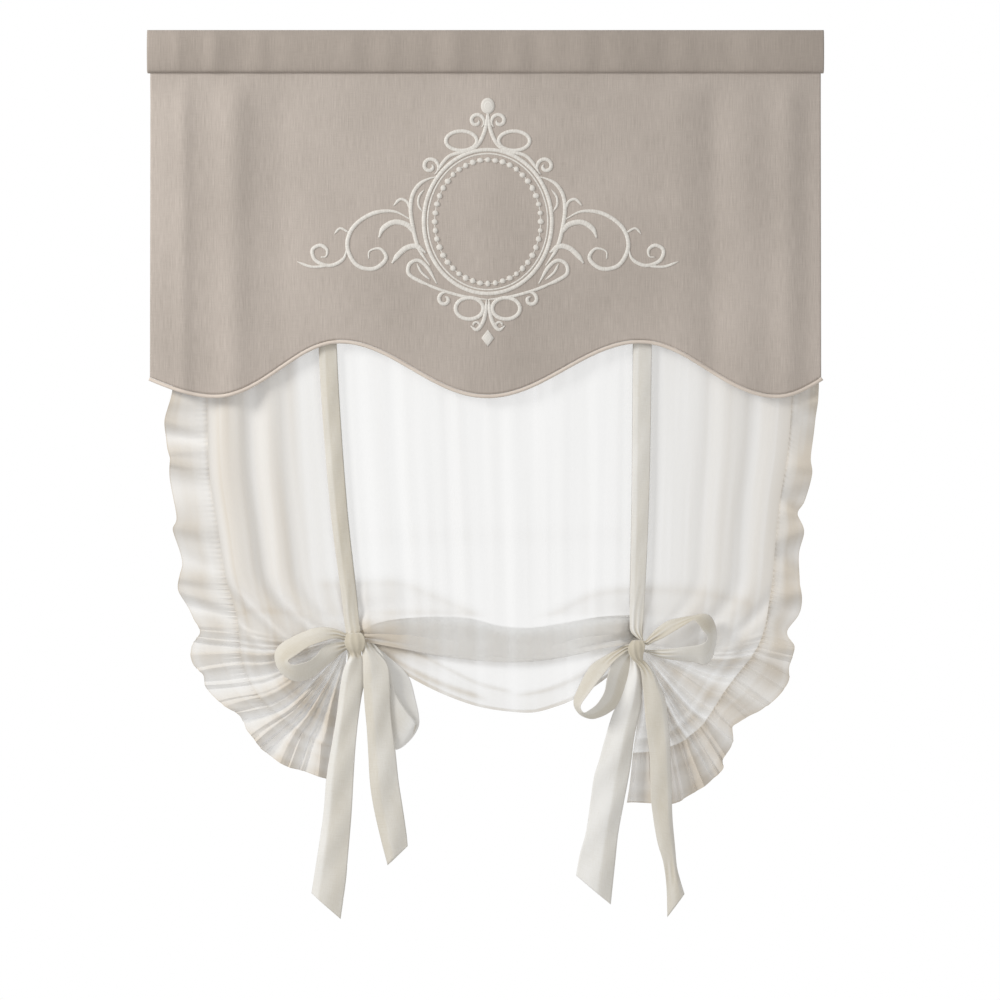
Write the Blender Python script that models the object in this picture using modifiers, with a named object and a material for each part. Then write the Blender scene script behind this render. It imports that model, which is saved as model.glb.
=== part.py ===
"""A tie-up curtain: a linen valance with an embroidered cartouche over a voile panel.

The origin is the middle of the rod pocket. X runs to the right along the rod, Z up, and the
front of the curtain faces -Y. Every "drop" is a distance down from the rod's axis.
"""

import math

import bmesh
import bpy
from mathutils import Vector

# Driving dimensions, in metres
CLEARANCE = 0.0003

HEADER_WIDTH = 1.200
HEADER_OVERHANG = 0.005
HEADER_HEIGHT = 0.076
HEADER_DEPTH = 0.028
HEADER_CLOTH = 0.0016
HEADER_SWELL = 0.0012
SEAM_OVERLAP = 0.010

VALANCE_CLOTH = 0.0014
VALANCE_FORWARD = 0.011
VALANCE_FOLD_START = 0.16
VALANCE_SWAY = 0.0012
SIDE_DROP = 0.578
PEAK_DROP = 0.512
LOW_DROP = 0.609
PIPING_RADIUS = 0.0032

CARTOUCHE_X = 0.004
CARTOUCHE_DROP = 0.3025
OVAL_HALF_WIDTH = 0.1136
OVAL_HALF_HEIGHT = 0.1278
BEAD_OVAL_HALF_WIDTH = 0.094
BEAD_OVAL_HALF_HEIGHT = 0.110
BEAD_COUNT = 40
BEAD_SIZE = 0.0088
STITCH_WIDTH = 0.0072
STITCH_HEIGHT = 0.0018
STITCH_LAP = 0.000011

VOILE_CLOTH = 0.0006
VOILE_BACK = 0.0080
VOILE_FOLD = 0.0045
SHOULDER_DROP = 0.920
SWAG_FOLD_DROP = 1.090
SWAG_TUCK_DROP = 1.024
SWAG_HEM_DROP = 1.174
SWAG_BILLOW = 0.018
SWAG_TUCK = 0.004
EAR_FOLD = 0.0055
PINCH_HALF_WIDTH = 0.014
PINCH_HEIGHT = 0.028

LEFT_RUFFLE_WIDTHS = (0.055, 0.080, 0.060)
RIGHT_RUFFLE_WIDTHS = (0.040, 0.052, 0.088)
RUFFLE_WAVE = 0.0105
RUFFLE_PITCH = 0.086

RIBBON_CLOTH = 0.0008
STRAP_HALF_WIDTH = 0.016
TAIL_HALF_WIDTH = 0.026
LOOP_HALF_WIDTH = 0.025
KNOT_HALF_WIDTH = 0.0155
KNOT_HEIGHT = 0.032
STRAND_HALF_WIDTH = 0.008
LAYER_STEP = 0.003
KNOT_BACK_GAP = 0.0036
KNOT_STANDOFF = 0.007
RIBBON_BACK_GAP = 0.014
RUFFLE_BACK_GAP = 0.003

LEFT_KNOT_SHARE = -0.3892
LEFT_KNOT_DROP = 1.0465
RIGHT_KNOT_SHARE = 0.4461
RIGHT_KNOT_DROP = 1.0606
LEFT_STRAP_SHARE = -0.4874
RIGHT_STRAP_SHARE = 0.4756

# Outlines that follow no formula: (share of the valance's half width, drop)
SCALLOP = (
    (-1.0, SIDE_DROP),
    (-0.803, LOW_DROP),
    (-0.434, PEAK_DROP),
    (0.005, LOW_DROP),
    (0.461, PEAK_DROP),
    (0.867, LOW_DROP),
    (1.0, SIDE_DROP),
)
LEFT_SEAM_OUTLINE = (
    (-0.842, 0.028),
    (-0.832, 0.619),
    (-0.825, 0.748),
    (-0.798, 0.851),
    (-0.776, 0.933),
    (-0.745, 0.997),
    (-0.723, 1.091),
    (-0.679, 1.142),
    (-0.603, 1.187),
    (-0.523, 1.219),
    (-0.449, 1.236),
)
RIGHT_SEAM_OUTLINE = (
    (0.923, 0.028),
    (0.914, 0.610),
    (0.901, 0.716),
    (0.881, 0.790),
    (0.866, 0.871),
    (0.854, 0.952),
    (0.818, 1.050),
    (0.760, 1.101),
    (0.706, 1.142),
    (0.655, 1.190),
    (0.575, 1.229),
    (0.491, 1.243),
    (0.440, 1.246),
)
# Upright folds in the valance: (share of the half width, height, share taken by the fold)
VALANCE_FOLDS = (
    (-0.95, -0.004, 0.030),
    (-0.87, 0.006, 0.045),
    (-0.76, -0.006, 0.050),
    (-0.66, 0.003, 0.050),
    (0.62, -0.003, 0.050),
    (0.72, 0.004, 0.045),
    (0.90, -0.005, 0.040),
    (0.97, 0.004, 0.030),
)

# Sizes worked out from the ones above
VALANCE_WIDTH = HEADER_WIDTH - 2 * HEADER_OVERHANG
HALF_WIDTH = VALANCE_WIDTH / 2
LEFT_KNOT = (LEFT_KNOT_SHARE * HALF_WIDTH, LEFT_KNOT_DROP)
RIGHT_KNOT = (RIGHT_KNOT_SHARE * HALF_WIDTH, RIGHT_KNOT_DROP)
LEFT_STRAP_TOP = LEFT_STRAP_SHARE * HALF_WIDTH
RIGHT_STRAP_TOP = RIGHT_STRAP_SHARE * HALF_WIDTH
LEFT_SEAM = [(share * HALF_WIDTH, drop) for share, drop in LEFT_SEAM_OUTLINE]
RIGHT_SEAM = [(share * HALF_WIDTH, drop) for share, drop in RIGHT_SEAM_OUTLINE]
HEADER_TOP = HEADER_HEIGHT / 2
HEADER_FOOT = -HEADER_HEIGHT / 2
LAYERS = VALANCE_CLOTH + VOILE_CLOTH + 2 * RIBBON_CLOTH + 5 * CLEARANCE
LEG_INSIDE = LAYERS / 2
VALANCE_TOP_Y = -LEG_INSIDE + CLEARANCE + VALANCE_CLOTH / 2
FRONT_RIBBON_TOP_Y = VALANCE_TOP_Y + (VALANCE_CLOTH + RIBBON_CLOTH) / 2 + CLEARANCE
VOILE_TOP_Y = FRONT_RIBBON_TOP_Y + (RIBBON_CLOTH + VOILE_CLOTH) / 2 + CLEARANCE
BACK_RIBBON_TOP_Y = VOILE_TOP_Y + (RIBBON_CLOTH + VOILE_CLOTH) / 2 + CLEARANCE
PANEL_TOP_DROP = -HEADER_FOOT - SEAM_OVERLAP
BELOW_HEADER = -HEADER_FOOT + 0.002
BACK_RIBBON_Y = VOILE_BACK + RIBBON_BACK_GAP
RUFFLE_Y = VOILE_BACK + RUFFLE_BACK_GAP
SEAM_GAP = CLEARANCE + VOILE_CLOTH / 2

# How finely each cloth is divided
HEADER_COLUMNS = 18
HEADER_ROUND = 10
VALANCE_COLUMNS = 52
VALANCE_ROWS = 5
EAR_COLUMNS = 8
CENTRE_COLUMNS = 15
UPPER_DROPS = (PANEL_TOP_DROP, BELOW_HEADER, 0.16, 0.40, 0.619, 0.72, 0.83)
FAN_ROWS = 12
WAVE_STEPS = 6
RUFFLE_ROW_COUNT = 2
LOOP_STEPS = 12
TAIL_STEPS = 8


def blend(start, end, share):
    return start + (end - start) * share


def smooth(share):
    share = min(max(share, 0.0), 1.0)
    return share * share * (3 - 2 * share)


def clear_scene():
    for obj in list(bpy.data.objects):
        bpy.data.objects.remove(obj)


def new_collection(name):
    collection = bpy.data.collections.new(name)
    bpy.context.scene.collection.children.link(collection)
    return collection


def new_material(name, colour, roughness):
    material = bpy.data.materials.new(name)
    material.use_nodes = True
    shader = material.node_tree.nodes["Principled BSDF"]
    shader.inputs["Base Color"].default_value = (*colour, 1.0)
    shader.inputs["Roughness"].default_value = roughness
    shader.inputs["Metallic"].default_value = 0.0
    return material


def link_object(name, mesh, material, collection):
    """Puts a mesh in the scene as one named piece, shaded smooth."""
    mesh.materials.clear()
    mesh.materials.append(material)
    mesh.shade_smooth()
    obj = bpy.data.objects.new(name, mesh)
    collection.objects.link(obj)
    return obj


def cloth(name, columns, rows, place, thickness, material, collection):
    """A grid laid by place(column, row) and thickened to both sides of that surface."""
    grid = bmesh.new()
    bmesh.ops.create_grid(grid, x_segments=columns, y_segments=rows, size=0.5)
    for vertex in grid.verts:
        column = round((vertex.co.x + 0.5) * columns)
        row = round((0.5 - vertex.co.y) * rows)
        vertex.co = place(column, row)
    mesh = bpy.data.meshes.new(name)
    grid.to_mesh(mesh)
    grid.free()
    obj = link_object(name, mesh, material, collection)
    solidify = obj.modifiers.new("Thickness", "SOLIDIFY")
    solidify.thickness = thickness
    solidify.offset = 0.0
    return obj


def header_point(column, row):
    """Round the pocket from the front leg's foot, over the top, to the back leg's foot."""
    share = column / HEADER_COLUMNS
    x = (share - 0.5) * HEADER_WIDTH
    half_depth = (HEADER_DEPTH - HEADER_CLOTH) / 2
    swell = HEADER_SWELL * math.sin(share * math.pi * 9) * math.sin(share * math.pi)
    foot_y = LEG_INSIDE + HEADER_CLOTH / 2
    foot_angle = math.acos(foot_y / half_depth)
    half_height = (HEADER_HEIGHT - HEADER_CLOTH / 2) / (1 + math.sin(foot_angle))
    middle = HEADER_TOP - HEADER_CLOTH / 2 - half_height
    turn = blend(-foot_angle, math.pi + foot_angle, row / HEADER_ROUND)
    bulge = (half_depth + swell) * math.cos(turn)
    at_foot = smooth((math.sin(turn) + math.sin(foot_angle)) / 0.8)
    y = -blend(math.copysign(foot_y, math.cos(turn)), bulge, at_foot)
    return Vector((x, y, middle + half_height * math.sin(turn)))


def scallop_drop(x):
    """The drop of the valance's lower edge: level at each low and peak, eased between them."""
    share = x / HALF_WIDTH
    for index in range(len(SCALLOP) - 1):
        start, end = SCALLOP[index], SCALLOP[index + 1]
        if share <= end[0] or index == len(SCALLOP) - 2:
            break
    along = min(max((share - start[0]) / (end[0] - start[0]), 0.0), 1.0)
    if index == 0:
        eased = math.sin(along * math.pi / 2)
    elif index == len(SCALLOP) - 2:
        eased = 1 - math.cos(along * math.pi / 2)
    else:
        eased = (1 - math.cos(along * math.pi)) / 2
    return blend(start[1], end[1], eased)


def valance_y(x, drop):
    """The depth of the valance: it swings forward as it falls, and folds near its sides."""
    below = max(drop - BELOW_HEADER, 0.0)
    hang = below / (LOW_DROP - BELOW_HEADER)
    share = x / HALF_WIDTH
    folds = sum(
        height * math.exp(-(((share - middle) / width) ** 2)) for middle, height, width in VALANCE_FOLDS
    )
    sway = VALANCE_SWAY * math.sin(share * 7.0) * hang
    return VALANCE_TOP_Y - VALANCE_FORWARD * hang + sway + folds * smooth(below / VALANCE_FOLD_START)


def valance_point(column, row):
    x = (column / VALANCE_COLUMNS - 0.5) * VALANCE_WIDTH
    drop = PANEL_TOP_DROP
    if row > 0:
        drop = blend(BELOW_HEADER, scallop_drop(x), (row - 1) / (VALANCE_ROWS - 1))
    return Vector((x, valance_y(x, drop), -drop))


def piping(material, collection):
    """A round cord sewn under the valance's lower edge, one clearance below it."""
    edge = [valance_point(column, VALANCE_ROWS) for column in range(VALANCE_COLUMNS + 1)]
    curve = bpy.data.curves.new("valance_piping", "CURVE")
    curve.dimensions = "3D"
    curve.bevel_depth = PIPING_RADIUS
    curve.bevel_resolution = 1
    curve.use_fill_caps = True
    spline = curve.splines.new("POLY")
    spline.points.add(len(edge) - 1)
    for index, point in enumerate(edge):
        before = edge[max(index - 1, 0)]
        after = edge[min(index + 1, len(edge) - 1)]
        run = (after - before).normalized()
        down = Vector((run.z, 0.0, -run.x)).normalized()
        spline.points[index].co = (*(point + down * (PIPING_RADIUS + CLEARANCE * 1.3)), 1.0)
    curve.materials.append(material)
    obj = bpy.data.objects.new("valance_piping", curve)
    collection.objects.link(obj)
    return obj


def arc(centre, radius_x, radius_z, start, end, steps):
    """Points of an elliptic arc, angles in degrees from +X towards +Z."""
    points = []
    for step in range(steps + 1):
        angle = math.radians(blend(start, end, step / steps))
        points.append((centre[0] + radius_x * math.cos(angle), centre[1] + radius_z * math.sin(angle)))
    return points


def spiral(centre, start_radius, end_radius, start, end, steps):
    """Points of a curl whose radius shrinks evenly as it turns."""
    points = []
    for step in range(steps + 1):
        share = step / steps
        angle = math.radians(blend(start, end, share))
        radius = blend(start_radius, end_radius, share)
        points.append((centre[0] + radius * math.cos(angle), centre[1] + radius * math.sin(angle)))
    return points


def through(points, steps):
    """A smooth curve through the points, with this many steps between each two."""
    padded = [points[0], *points, points[-1]]
    curve = []
    for index in range(len(points) - 1):
        a, b, c, d = (Vector(p) for p in padded[index : index + 4])
        for step in range(steps):
            t = step / steps
            curve.append(
                tuple(
                    0.5
                    * (
                        2 * b
                        + (c - a) * t
                        + (2 * a - 5 * b + 4 * c - d) * t**2
                        + (3 * b - a - 3 * c + d) * t**3
                    )
                )
            )
    curve.append(tuple(points[-1]))
    return curve


def mirrored(points):
    return [(-x, z) for x, z in points]


def upper_scrolls():
    """The crest over the oval on its left side: an oval, curls and the arm to the side scroll.

    Each stroke is its points, its width against the oval's, and whether it closes on itself.
    """
    stem = [(-0.042, 0.156), (-0.024, 0.167), (-0.008, 0.173), (0.0, 0.188), (0.0, 0.200)]
    shoulder = [(-0.050, 0.115), (-0.066, 0.123), (-0.085, 0.110), (-0.098, 0.086)]
    arm = [(-0.098, 0.086), (-0.121, 0.074), (-0.135, 0.044), (-0.137, 0.004), (-0.110, -0.040)]
    return [
        (arc((-0.048, 0.1415), 0.0266, 0.0170, -60, 300, 12), 0.9, True),
        (spiral((-0.021, 0.180), 0.0125, 0.0045, -60, 250, 7), 0.8, False),
        (stem, 0.8, False),
        (through(shoulder, 2), 0.8, False),
        (spiral((-0.104, 0.100), 0.0165, 0.005, -70, 270, 8), 0.8, False),
        (through(arm, 2), 0.9, False),
    ]


def side_scrolls():
    """The arms on the left of the oval: a large C-scroll, an outer scroll, and leaves."""
    large = [(-0.137, 0.004), (-0.166, 0.018), (-0.205, 0.014), (-0.240, -0.012), (-0.249, -0.045)]
    large += [(-0.231, -0.078), (-0.200, -0.083), (-0.180, -0.064), (-0.191, -0.048), (-0.212, -0.055)]
    outer = [(-0.249, -0.045), (-0.256, -0.066), (-0.280, -0.078), (-0.306, -0.068), (-0.311, -0.050)]
    outer += [(-0.297, -0.042), (-0.285, -0.051)]
    tip = [(-0.280, -0.078), (-0.312, -0.080), (-0.338, -0.071)]
    upper_leaf = [(-0.126, -0.022), (-0.147, -0.004), (-0.170, -0.003), (-0.188, -0.014), (-0.190, -0.028)]
    lower_leaf = [(-0.110, -0.043), (-0.142, -0.043), (-0.157, -0.055), (-0.166, -0.073)]
    foot = [(-0.105, -0.064), (-0.128, -0.080), (-0.108, -0.102), (-0.082, -0.120), (-0.062, -0.112)]
    return [
        (through(large, 2), 1.0, False),
        (through(outer, 2), 0.9, False),
        (through(tip, 2), 0.6, False),
        (through(upper_leaf, 2), 0.8, False),
        (through(lower_leaf, 2), 0.8, False),
        (through(foot, 2), 0.8, False),
    ]


def lower_scrolls():
    """The pendant under the oval on its left side: rings, curls and hooks down to the drop."""
    return [
        (arc((-0.034, -0.151), 0.0225, 0.0225, -90, 270, 12), 0.9, True),
        (spiral((-0.077, -0.136), 0.0115, 0.004, 60, 400, 7), 0.8, False),
        (through([(-0.082, -0.122), (-0.070, -0.124), (-0.056, -0.140)], 2), 0.7, False),
        (through([(-0.028, -0.172), (-0.010, -0.176), (0.0, -0.194)], 2), 0.8, False),
        (spiral((-0.018, -0.185), 0.0095, 0.0035, 60, 300, 5), 0.7, False),
    ]


def new_stitch_profile(collection):
    """The section of a stitched line: flat at the back, with a ridge along its front."""
    curve = bpy.data.curves.new("stitch_profile", "CURVE")
    curve.dimensions = "2D"
    spline = curve.splines.new("POLY")
    half = STITCH_WIDTH / 2
    corners = ((-half, 0.0), (half, 0.0), (0.0, STITCH_HEIGHT))
    spline.points.add(len(corners) - 1)
    for point, corner in zip(spline.points, corners):
        point.co = (*corner, 0.0, 1.0)
    spline.use_cyclic_u = True
    obj = bpy.data.objects.new("stitch_profile", curve)
    obj.hide_render = True
    collection.objects.link(obj)
    return obj


def stroke_mesh(points, widths, closed, profile, lift=0.0):
    """A stitched line laid flat in X and Y, with its height along Z, lifted a little if asked."""
    curve = bpy.data.curves.new("stroke", "CURVE")
    curve.dimensions = "2D"
    curve.bevel_mode = "OBJECT"
    curve.bevel_object = profile
    curve.use_fill_caps = True
    spline = curve.splines.new("POLY")
    if closed:
        points = points[:-1]
    spline.points.add(len(points) - 1)
    for index, point in enumerate(points):
        spline.points[index].co = (point[0], point[1], 0.0, 1.0)
        spline.points[index].radius = widths[index]
    spline.use_cyclic_u = closed
    obj = bpy.data.objects.new("stroke", curve)
    obj.location.z = lift
    bpy.context.scene.collection.objects.link(obj)
    bpy.context.view_layer.update()
    graph = bpy.context.evaluated_depsgraph_get()
    mesh = bpy.data.meshes.new_from_object(obj.evaluated_get(graph))
    mesh.transform(obj.matrix_world)
    bpy.data.objects.remove(obj)
    work = bmesh.new()
    work.from_mesh(mesh)
    bmesh.ops.remove_doubles(work, verts=work.verts, dist=1e-6)
    bmesh.ops.recalc_face_normals(work, faces=work.faces)
    work.to_mesh(mesh)
    work.free()
    return mesh


def tapered(count, width):
    """Full width in the middle of a line and about a third at its two tips."""
    shares = [index / max(count - 1, 1) for index in range(count)]
    return [width * blend(0.4, 1.0, smooth(min(share, 1 - share) / 0.25)) for share in shares]


def leaf_mesh(middle, half_width, half_height, sides, low):
    """A raised drop or diamond: a cone of few sides, stretched to its outline."""
    work = bmesh.new()
    bmesh.ops.create_cone(
        work, cap_ends=True, segments=sides, radius1=1.0, radius2=0.35, depth=STITCH_HEIGHT * 1.2
    )
    for vertex in work.verts:
        spread = half_height if vertex.co.y > 0 else low
        vertex.co = Vector(
            (
                middle[0] + vertex.co.x * half_width,
                middle[1] + vertex.co.y * spread,
                vertex.co.z + STITCH_HEIGHT * 0.6,
            )
        )
    mesh = bpy.data.meshes.new("leaf")
    work.to_mesh(mesh)
    work.free()
    return mesh


def lay_on_valance(mesh):
    """Moves a flat stitched shape to its place, one clearance in front of the valance."""
    for vertex in mesh.vertices:
        x = CARTOUCHE_X + vertex.co.x
        drop = CARTOUCHE_DROP - vertex.co.y
        height = vertex.co.z + CLEARANCE + VALANCE_CLOTH / 2
        vertex.co = (x, valance_y(x, drop) - height, -drop)
    work = bmesh.new()
    work.from_mesh(mesh)
    bmesh.ops.recalc_face_normals(work, faces=work.faces)
    work.to_mesh(mesh)
    work.free()


def joined(name, meshes):
    """One closed mesh from many that overlap."""
    base = bpy.data.objects.new(name, meshes[0])
    bpy.context.scene.collection.objects.link(base)
    helpers = []
    for mesh in meshes[1:]:
        helper = bpy.data.objects.new("stroke", mesh)
        bpy.context.scene.collection.objects.link(helper)
        helpers.append(helper)
        union = base.modifiers.new("Join", "BOOLEAN")
        union.operation = "UNION"
        union.solver = "EXACT"
        union.object = helper
        union.use_self = True
    bpy.context.view_layer.update()
    graph = bpy.context.evaluated_depsgraph_get()
    mesh = bpy.data.meshes.new_from_object(base.evaluated_get(graph))
    for obj in [base, *helpers]:
        bpy.data.objects.remove(obj)
    return mesh


def embroidery(profile, material, collection):
    """The stitched cartouche: the oval, its crest, its side scrolls and its pendant."""
    oval = arc((0.0, 0.0), OVAL_HALF_WIDTH, OVAL_HALF_HEIGHT, 0, 360, 36)
    meshes = [stroke_mesh(oval, [1.2] * len(oval), True, profile)]
    strokes = upper_scrolls() + side_scrolls() + lower_scrolls()
    for index, (points, width, closed) in enumerate(strokes):
        widths = [width] * len(points) if closed else tapered(len(points), width)
        lift = STITCH_LAP * (2 * index + 1)
        meshes.append(stroke_mesh(points, widths, closed, profile, lift))
        meshes.append(stroke_mesh(mirrored(points), widths, closed, profile, lift + STITCH_LAP))
    meshes.append(leaf_mesh((0.0, 0.205), 0.0115, 0.016, 10, 0.012))
    meshes.append(leaf_mesh((0.0, -0.205), 0.0105, 0.014, 4, 0.014))
    mesh = joined("embroidery", meshes)
    lay_on_valance(mesh)
    return link_object("embroidery", mesh, material, collection)


def embroidered_beads(profile, material, collection):
    """A string of stitched beads inside the oval, each joined to the next by a thin stitch."""
    oval = arc((0.0, 0.0), BEAD_OVAL_HALF_WIDTH, BEAD_OVAL_HALF_HEIGHT, 0, 360, 2 * BEAD_COUNT)
    bead = BEAD_SIZE / STITCH_WIDTH
    widths = [bead if index % 2 else 0.25 for index in range(len(oval))]
    mesh = stroke_mesh(oval, widths, True, profile)
    lay_on_valance(mesh)
    return link_object("embroidered_beads", mesh, material, collection)


def along(points, share):
    """The point at a share of the length of a chain of straight runs."""
    runs = [math.dist(points[index], points[index + 1]) for index in range(len(points) - 1)]
    left = share * sum(runs)
    for index, run in enumerate(runs):
        if left <= run or index == len(runs) - 1:
            break
        left -= run
    part = min(left / run, 1.0)
    return tuple(blend(a, b, part) for a, b in zip(points[index], points[index + 1]))


def seam_x(seam, drop):
    """Where a side seam stands at a drop above the shoulder."""
    for (x0, drop0), (x1, drop1) in zip(seam, seam[1:]):
        if drop <= drop1:
            break
    return blend(x0, x1, min(max((drop - drop0) / (drop1 - drop0), 0.0), 1.0))


def seam_below(seam):
    """The part of a side seam from the shoulder down to the hem's corner."""
    start = (seam_x(seam, SHOULDER_DROP), SHOULDER_DROP)
    return [start, *(point for point in seam if point[1] > SHOULDER_DROP)]


def strap_x(knot, top_x, drop):
    """The straps lean in towards the knot, more so near it."""
    share = min(max((drop - PANEL_TOP_DROP) / (knot[1] - PANEL_TOP_DROP), 0.0), 1.0)
    return blend(top_x, knot[0], 0.45 * share + 0.55 * share**2.2)


def knot_drop(knot, fan_row):
    """The rows close up as they come to the knot and pass through it."""
    top = knot[1] - PINCH_HEIGHT / 2
    approach = (0.0, 0.42, 0.76, 1.0)
    if fan_row < len(approach):
        return blend(SHOULDER_DROP, top, approach[fan_row])
    passed = (fan_row - len(approach) + 1) / (FAN_ROWS - len(approach) + 1)
    return blend(top, top + PINCH_HEIGHT, passed)


def centre_drop(fan_row):
    """Down the middle of the swag: to the first fold, back up behind it, and down to the hem."""
    if fan_row <= 4:
        return blend(SHOULDER_DROP, SWAG_FOLD_DROP, math.sin(fan_row / 4 * math.pi / 2))
    if fan_row <= 7:
        return blend(SWAG_FOLD_DROP, SWAG_TUCK_DROP, (1 - math.cos((fan_row - 4) / 3 * math.pi)) / 2)
    return blend(SWAG_TUCK_DROP, SWAG_HEM_DROP, smooth((fan_row - 7) / (FAN_ROWS - 7)))


def swag_y(fan_row):
    """The swag's fold leans forward, and each layer behind it is further back."""
    front = VOILE_BACK - SWAG_BILLOW
    if fan_row <= 4:
        return blend(VOILE_BACK, front, smooth(fan_row / 4))
    if fan_row <= 8:
        return blend(front, VOILE_BACK + SWAG_TUCK, (fan_row - 4) / 4)
    return blend(VOILE_BACK + SWAG_TUCK, VOILE_BACK - SWAG_BILLOW / 2, (fan_row - 8) / (FAN_ROWS - 8))


def column_place(column):
    """Which stretch of the voile a column is in, and its share from the left or the knot."""
    last = 2 * EAR_COLUMNS + CENTRE_COLUMNS + 4
    if column <= EAR_COLUMNS:
        return "left_ear", 1 - column / EAR_COLUMNS
    if column <= EAR_COLUMNS + 2:
        return "left_knot", column - EAR_COLUMNS - 1
    if column < last - EAR_COLUMNS - 2:
        return "centre", (column - EAR_COLUMNS - 2) / CENTRE_COLUMNS
    if column < last - EAR_COLUMNS:
        return "right_knot", column - (last - EAR_COLUMNS - 1)
    return "right_ear", 1 - (last - column) / EAR_COLUMNS


def gather_half_width(fan_row):
    return blend(0.030, PINCH_HALF_WIDTH, smooth(fan_row / 3))


def ear_point(knot, seam, top_x, share, row, side):
    """Between a knot and its side seam: level rows above, a fan round the knot below."""
    fan_row = row - len(UPPER_DROPS)
    if fan_row < 0:
        drop = UPPER_DROPS[row]
        near = strap_x(knot, top_x, drop) + side * gather_half_width(0)
        x = blend(near, seam_x(seam, drop), share)
        fold = math.sin(share * math.pi * 4.5)
        y = VOILE_BACK + VOILE_FOLD * fold * smooth((drop - 0.1) / 0.3)
        return x, drop, y
    near_drop = knot_drop(knot, fan_row)
    near = strap_x(knot, top_x, near_drop) + side * gather_half_width(fan_row)
    far = along(seam_below(seam), fan_row / FAN_ROWS)
    sag = 0.018 * math.sin(share * math.pi) * smooth(fan_row / 4)
    x = blend(near, far[0], share)
    drop = blend(near_drop, far[1], share) + sag
    upright = VOILE_FOLD * math.sin(share * math.pi * 4.5) * (1 - smooth(fan_row / 5))
    spokes = EAR_FOLD * math.sin(fan_row / FAN_ROWS * math.pi * 5)
    spokes *= smooth(share * 1.5) * smooth(fan_row / 3)
    return x, drop, VOILE_BACK + upright + spokes


def centre_point(share, row):
    """Between the knots: level rows above, the swag with its tucked fold below."""
    fan_row = row - len(UPPER_DROPS)
    fold = math.sin(share * math.pi * 6)
    if fan_row < 0:
        drop = UPPER_DROPS[row]
        left = strap_x(LEFT_KNOT, LEFT_STRAP_TOP, drop) + gather_half_width(0)
        right = strap_x(RIGHT_KNOT, RIGHT_STRAP_TOP, drop) - gather_half_width(0)
        y = VOILE_BACK + VOILE_FOLD * 0.5 * fold * smooth((drop - 0.1) / 0.3)
        return blend(left, right, share), drop, y
    left_drop = knot_drop(LEFT_KNOT, fan_row)
    right_drop = knot_drop(RIGHT_KNOT, fan_row)
    left = strap_x(LEFT_KNOT, LEFT_STRAP_TOP, left_drop) + gather_half_width(fan_row)
    right = strap_x(RIGHT_KNOT, RIGHT_STRAP_TOP, right_drop) - gather_half_width(fan_row)
    level = blend(left_drop, right_drop, share)
    hang = max(math.sin(math.pi * share**1.15), 0.0)
    drop = level + (centre_drop(fan_row) - (left_drop + right_drop) / 2) * hang**0.9
    upright = VOILE_FOLD * 0.5 * fold * (1 - smooth(fan_row / 4))
    y = blend(VOILE_BACK, swag_y(fan_row), smooth(hang * 1.6))
    return blend(left, right, share), drop, y + upright


def voile_point(column, row):
    """The whole voile panel, from the header down to its hem."""
    stretch, share = column_place(column)
    if stretch == "left_ear":
        x, drop, y = ear_point(LEFT_KNOT, LEFT_SEAM, LEFT_STRAP_TOP, share, row, -1)
    elif stretch == "right_ear":
        x, drop, y = ear_point(RIGHT_KNOT, RIGHT_SEAM, RIGHT_STRAP_TOP, share, row, 1)
    elif stretch == "centre":
        x, drop, y = centre_point(share, row)
    else:
        knot, top = (LEFT_KNOT, LEFT_STRAP_TOP)
        if stretch == "right_knot":
            knot, top = (RIGHT_KNOT, RIGHT_STRAP_TOP)
        fan_row = row - len(UPPER_DROPS)
        drop = UPPER_DROPS[row] if fan_row < 0 else knot_drop(knot, fan_row)
        x = strap_x(knot, top, drop) + share * gather_half_width(max(fan_row, 0))
        y = VOILE_BACK
    y = blend(VOILE_TOP_Y, y, smooth((drop - BELOW_HEADER) / 0.12))
    return Vector((x, y, -drop))


def voile_columns():
    return 2 * EAR_COLUMNS + CENTRE_COLUMNS + 4


def voile_rows():
    return len(UPPER_DROPS) + FAN_ROWS


def seam_line(column):
    """The voile's side edge below the header, where a ruffle is sewn on."""
    edge = [voile_point(column, row) for row in range(voile_rows() + 1)]
    return edge[1:]


def seam_steps(edge):
    """Points along a seam with the distance run to each, every corner of the seam among them."""
    points = [edge[0]]
    distances = [0.0]
    for start, end in zip(edge, edge[1:]):
        length = (end - start).length
        steps = max(round(length * WAVE_STEPS / RUFFLE_PITCH), 1)
        for step in range(1, steps + 1):
            points.append(start.lerp(end, step / steps))
            distances.append(distances[-1] + length / steps)
    return points, distances


def ruffle(name, column, side, widths, material, collection):
    """A gathered strip along one side: flat at its seam and waved at its free edge."""
    points, distances = seam_steps(seam_line(column))
    waves = max(round(distances[-1] / RUFFLE_PITCH), 1)
    reach = WAVE_STEPS // 2

    def place(step, row):
        point = points[step]
        run = points[min(step + reach, len(points) - 1)] - points[max(step - reach, 0)]
        out = Vector((run.z, 0.0, -run.x)).normalized() * -side
        share = row / RUFFLE_ROW_COUNT
        phase = distances[step] / distances[-1] * waves * 2 * math.pi
        half_way = distances[step] / distances[-1] * 2
        if half_way < 1:
            width = blend(widths[0], widths[1], smooth(half_way))
        else:
            width = blend(widths[1], widths[2], smooth(half_way - 1))
        width *= 1 + 0.07 * math.cos(phase)
        wave = RUFFLE_WAVE * math.sin(phase) * smooth(distances[step] / 0.25)
        spot = point + out * (SEAM_GAP + width * share)
        return Vector((spot.x, blend(point.y, RUFFLE_Y + wave, share), spot.z))

    return cloth(name, len(points) - 1, RUFFLE_ROW_COUNT, place, VOILE_CLOTH, material, collection)


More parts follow.
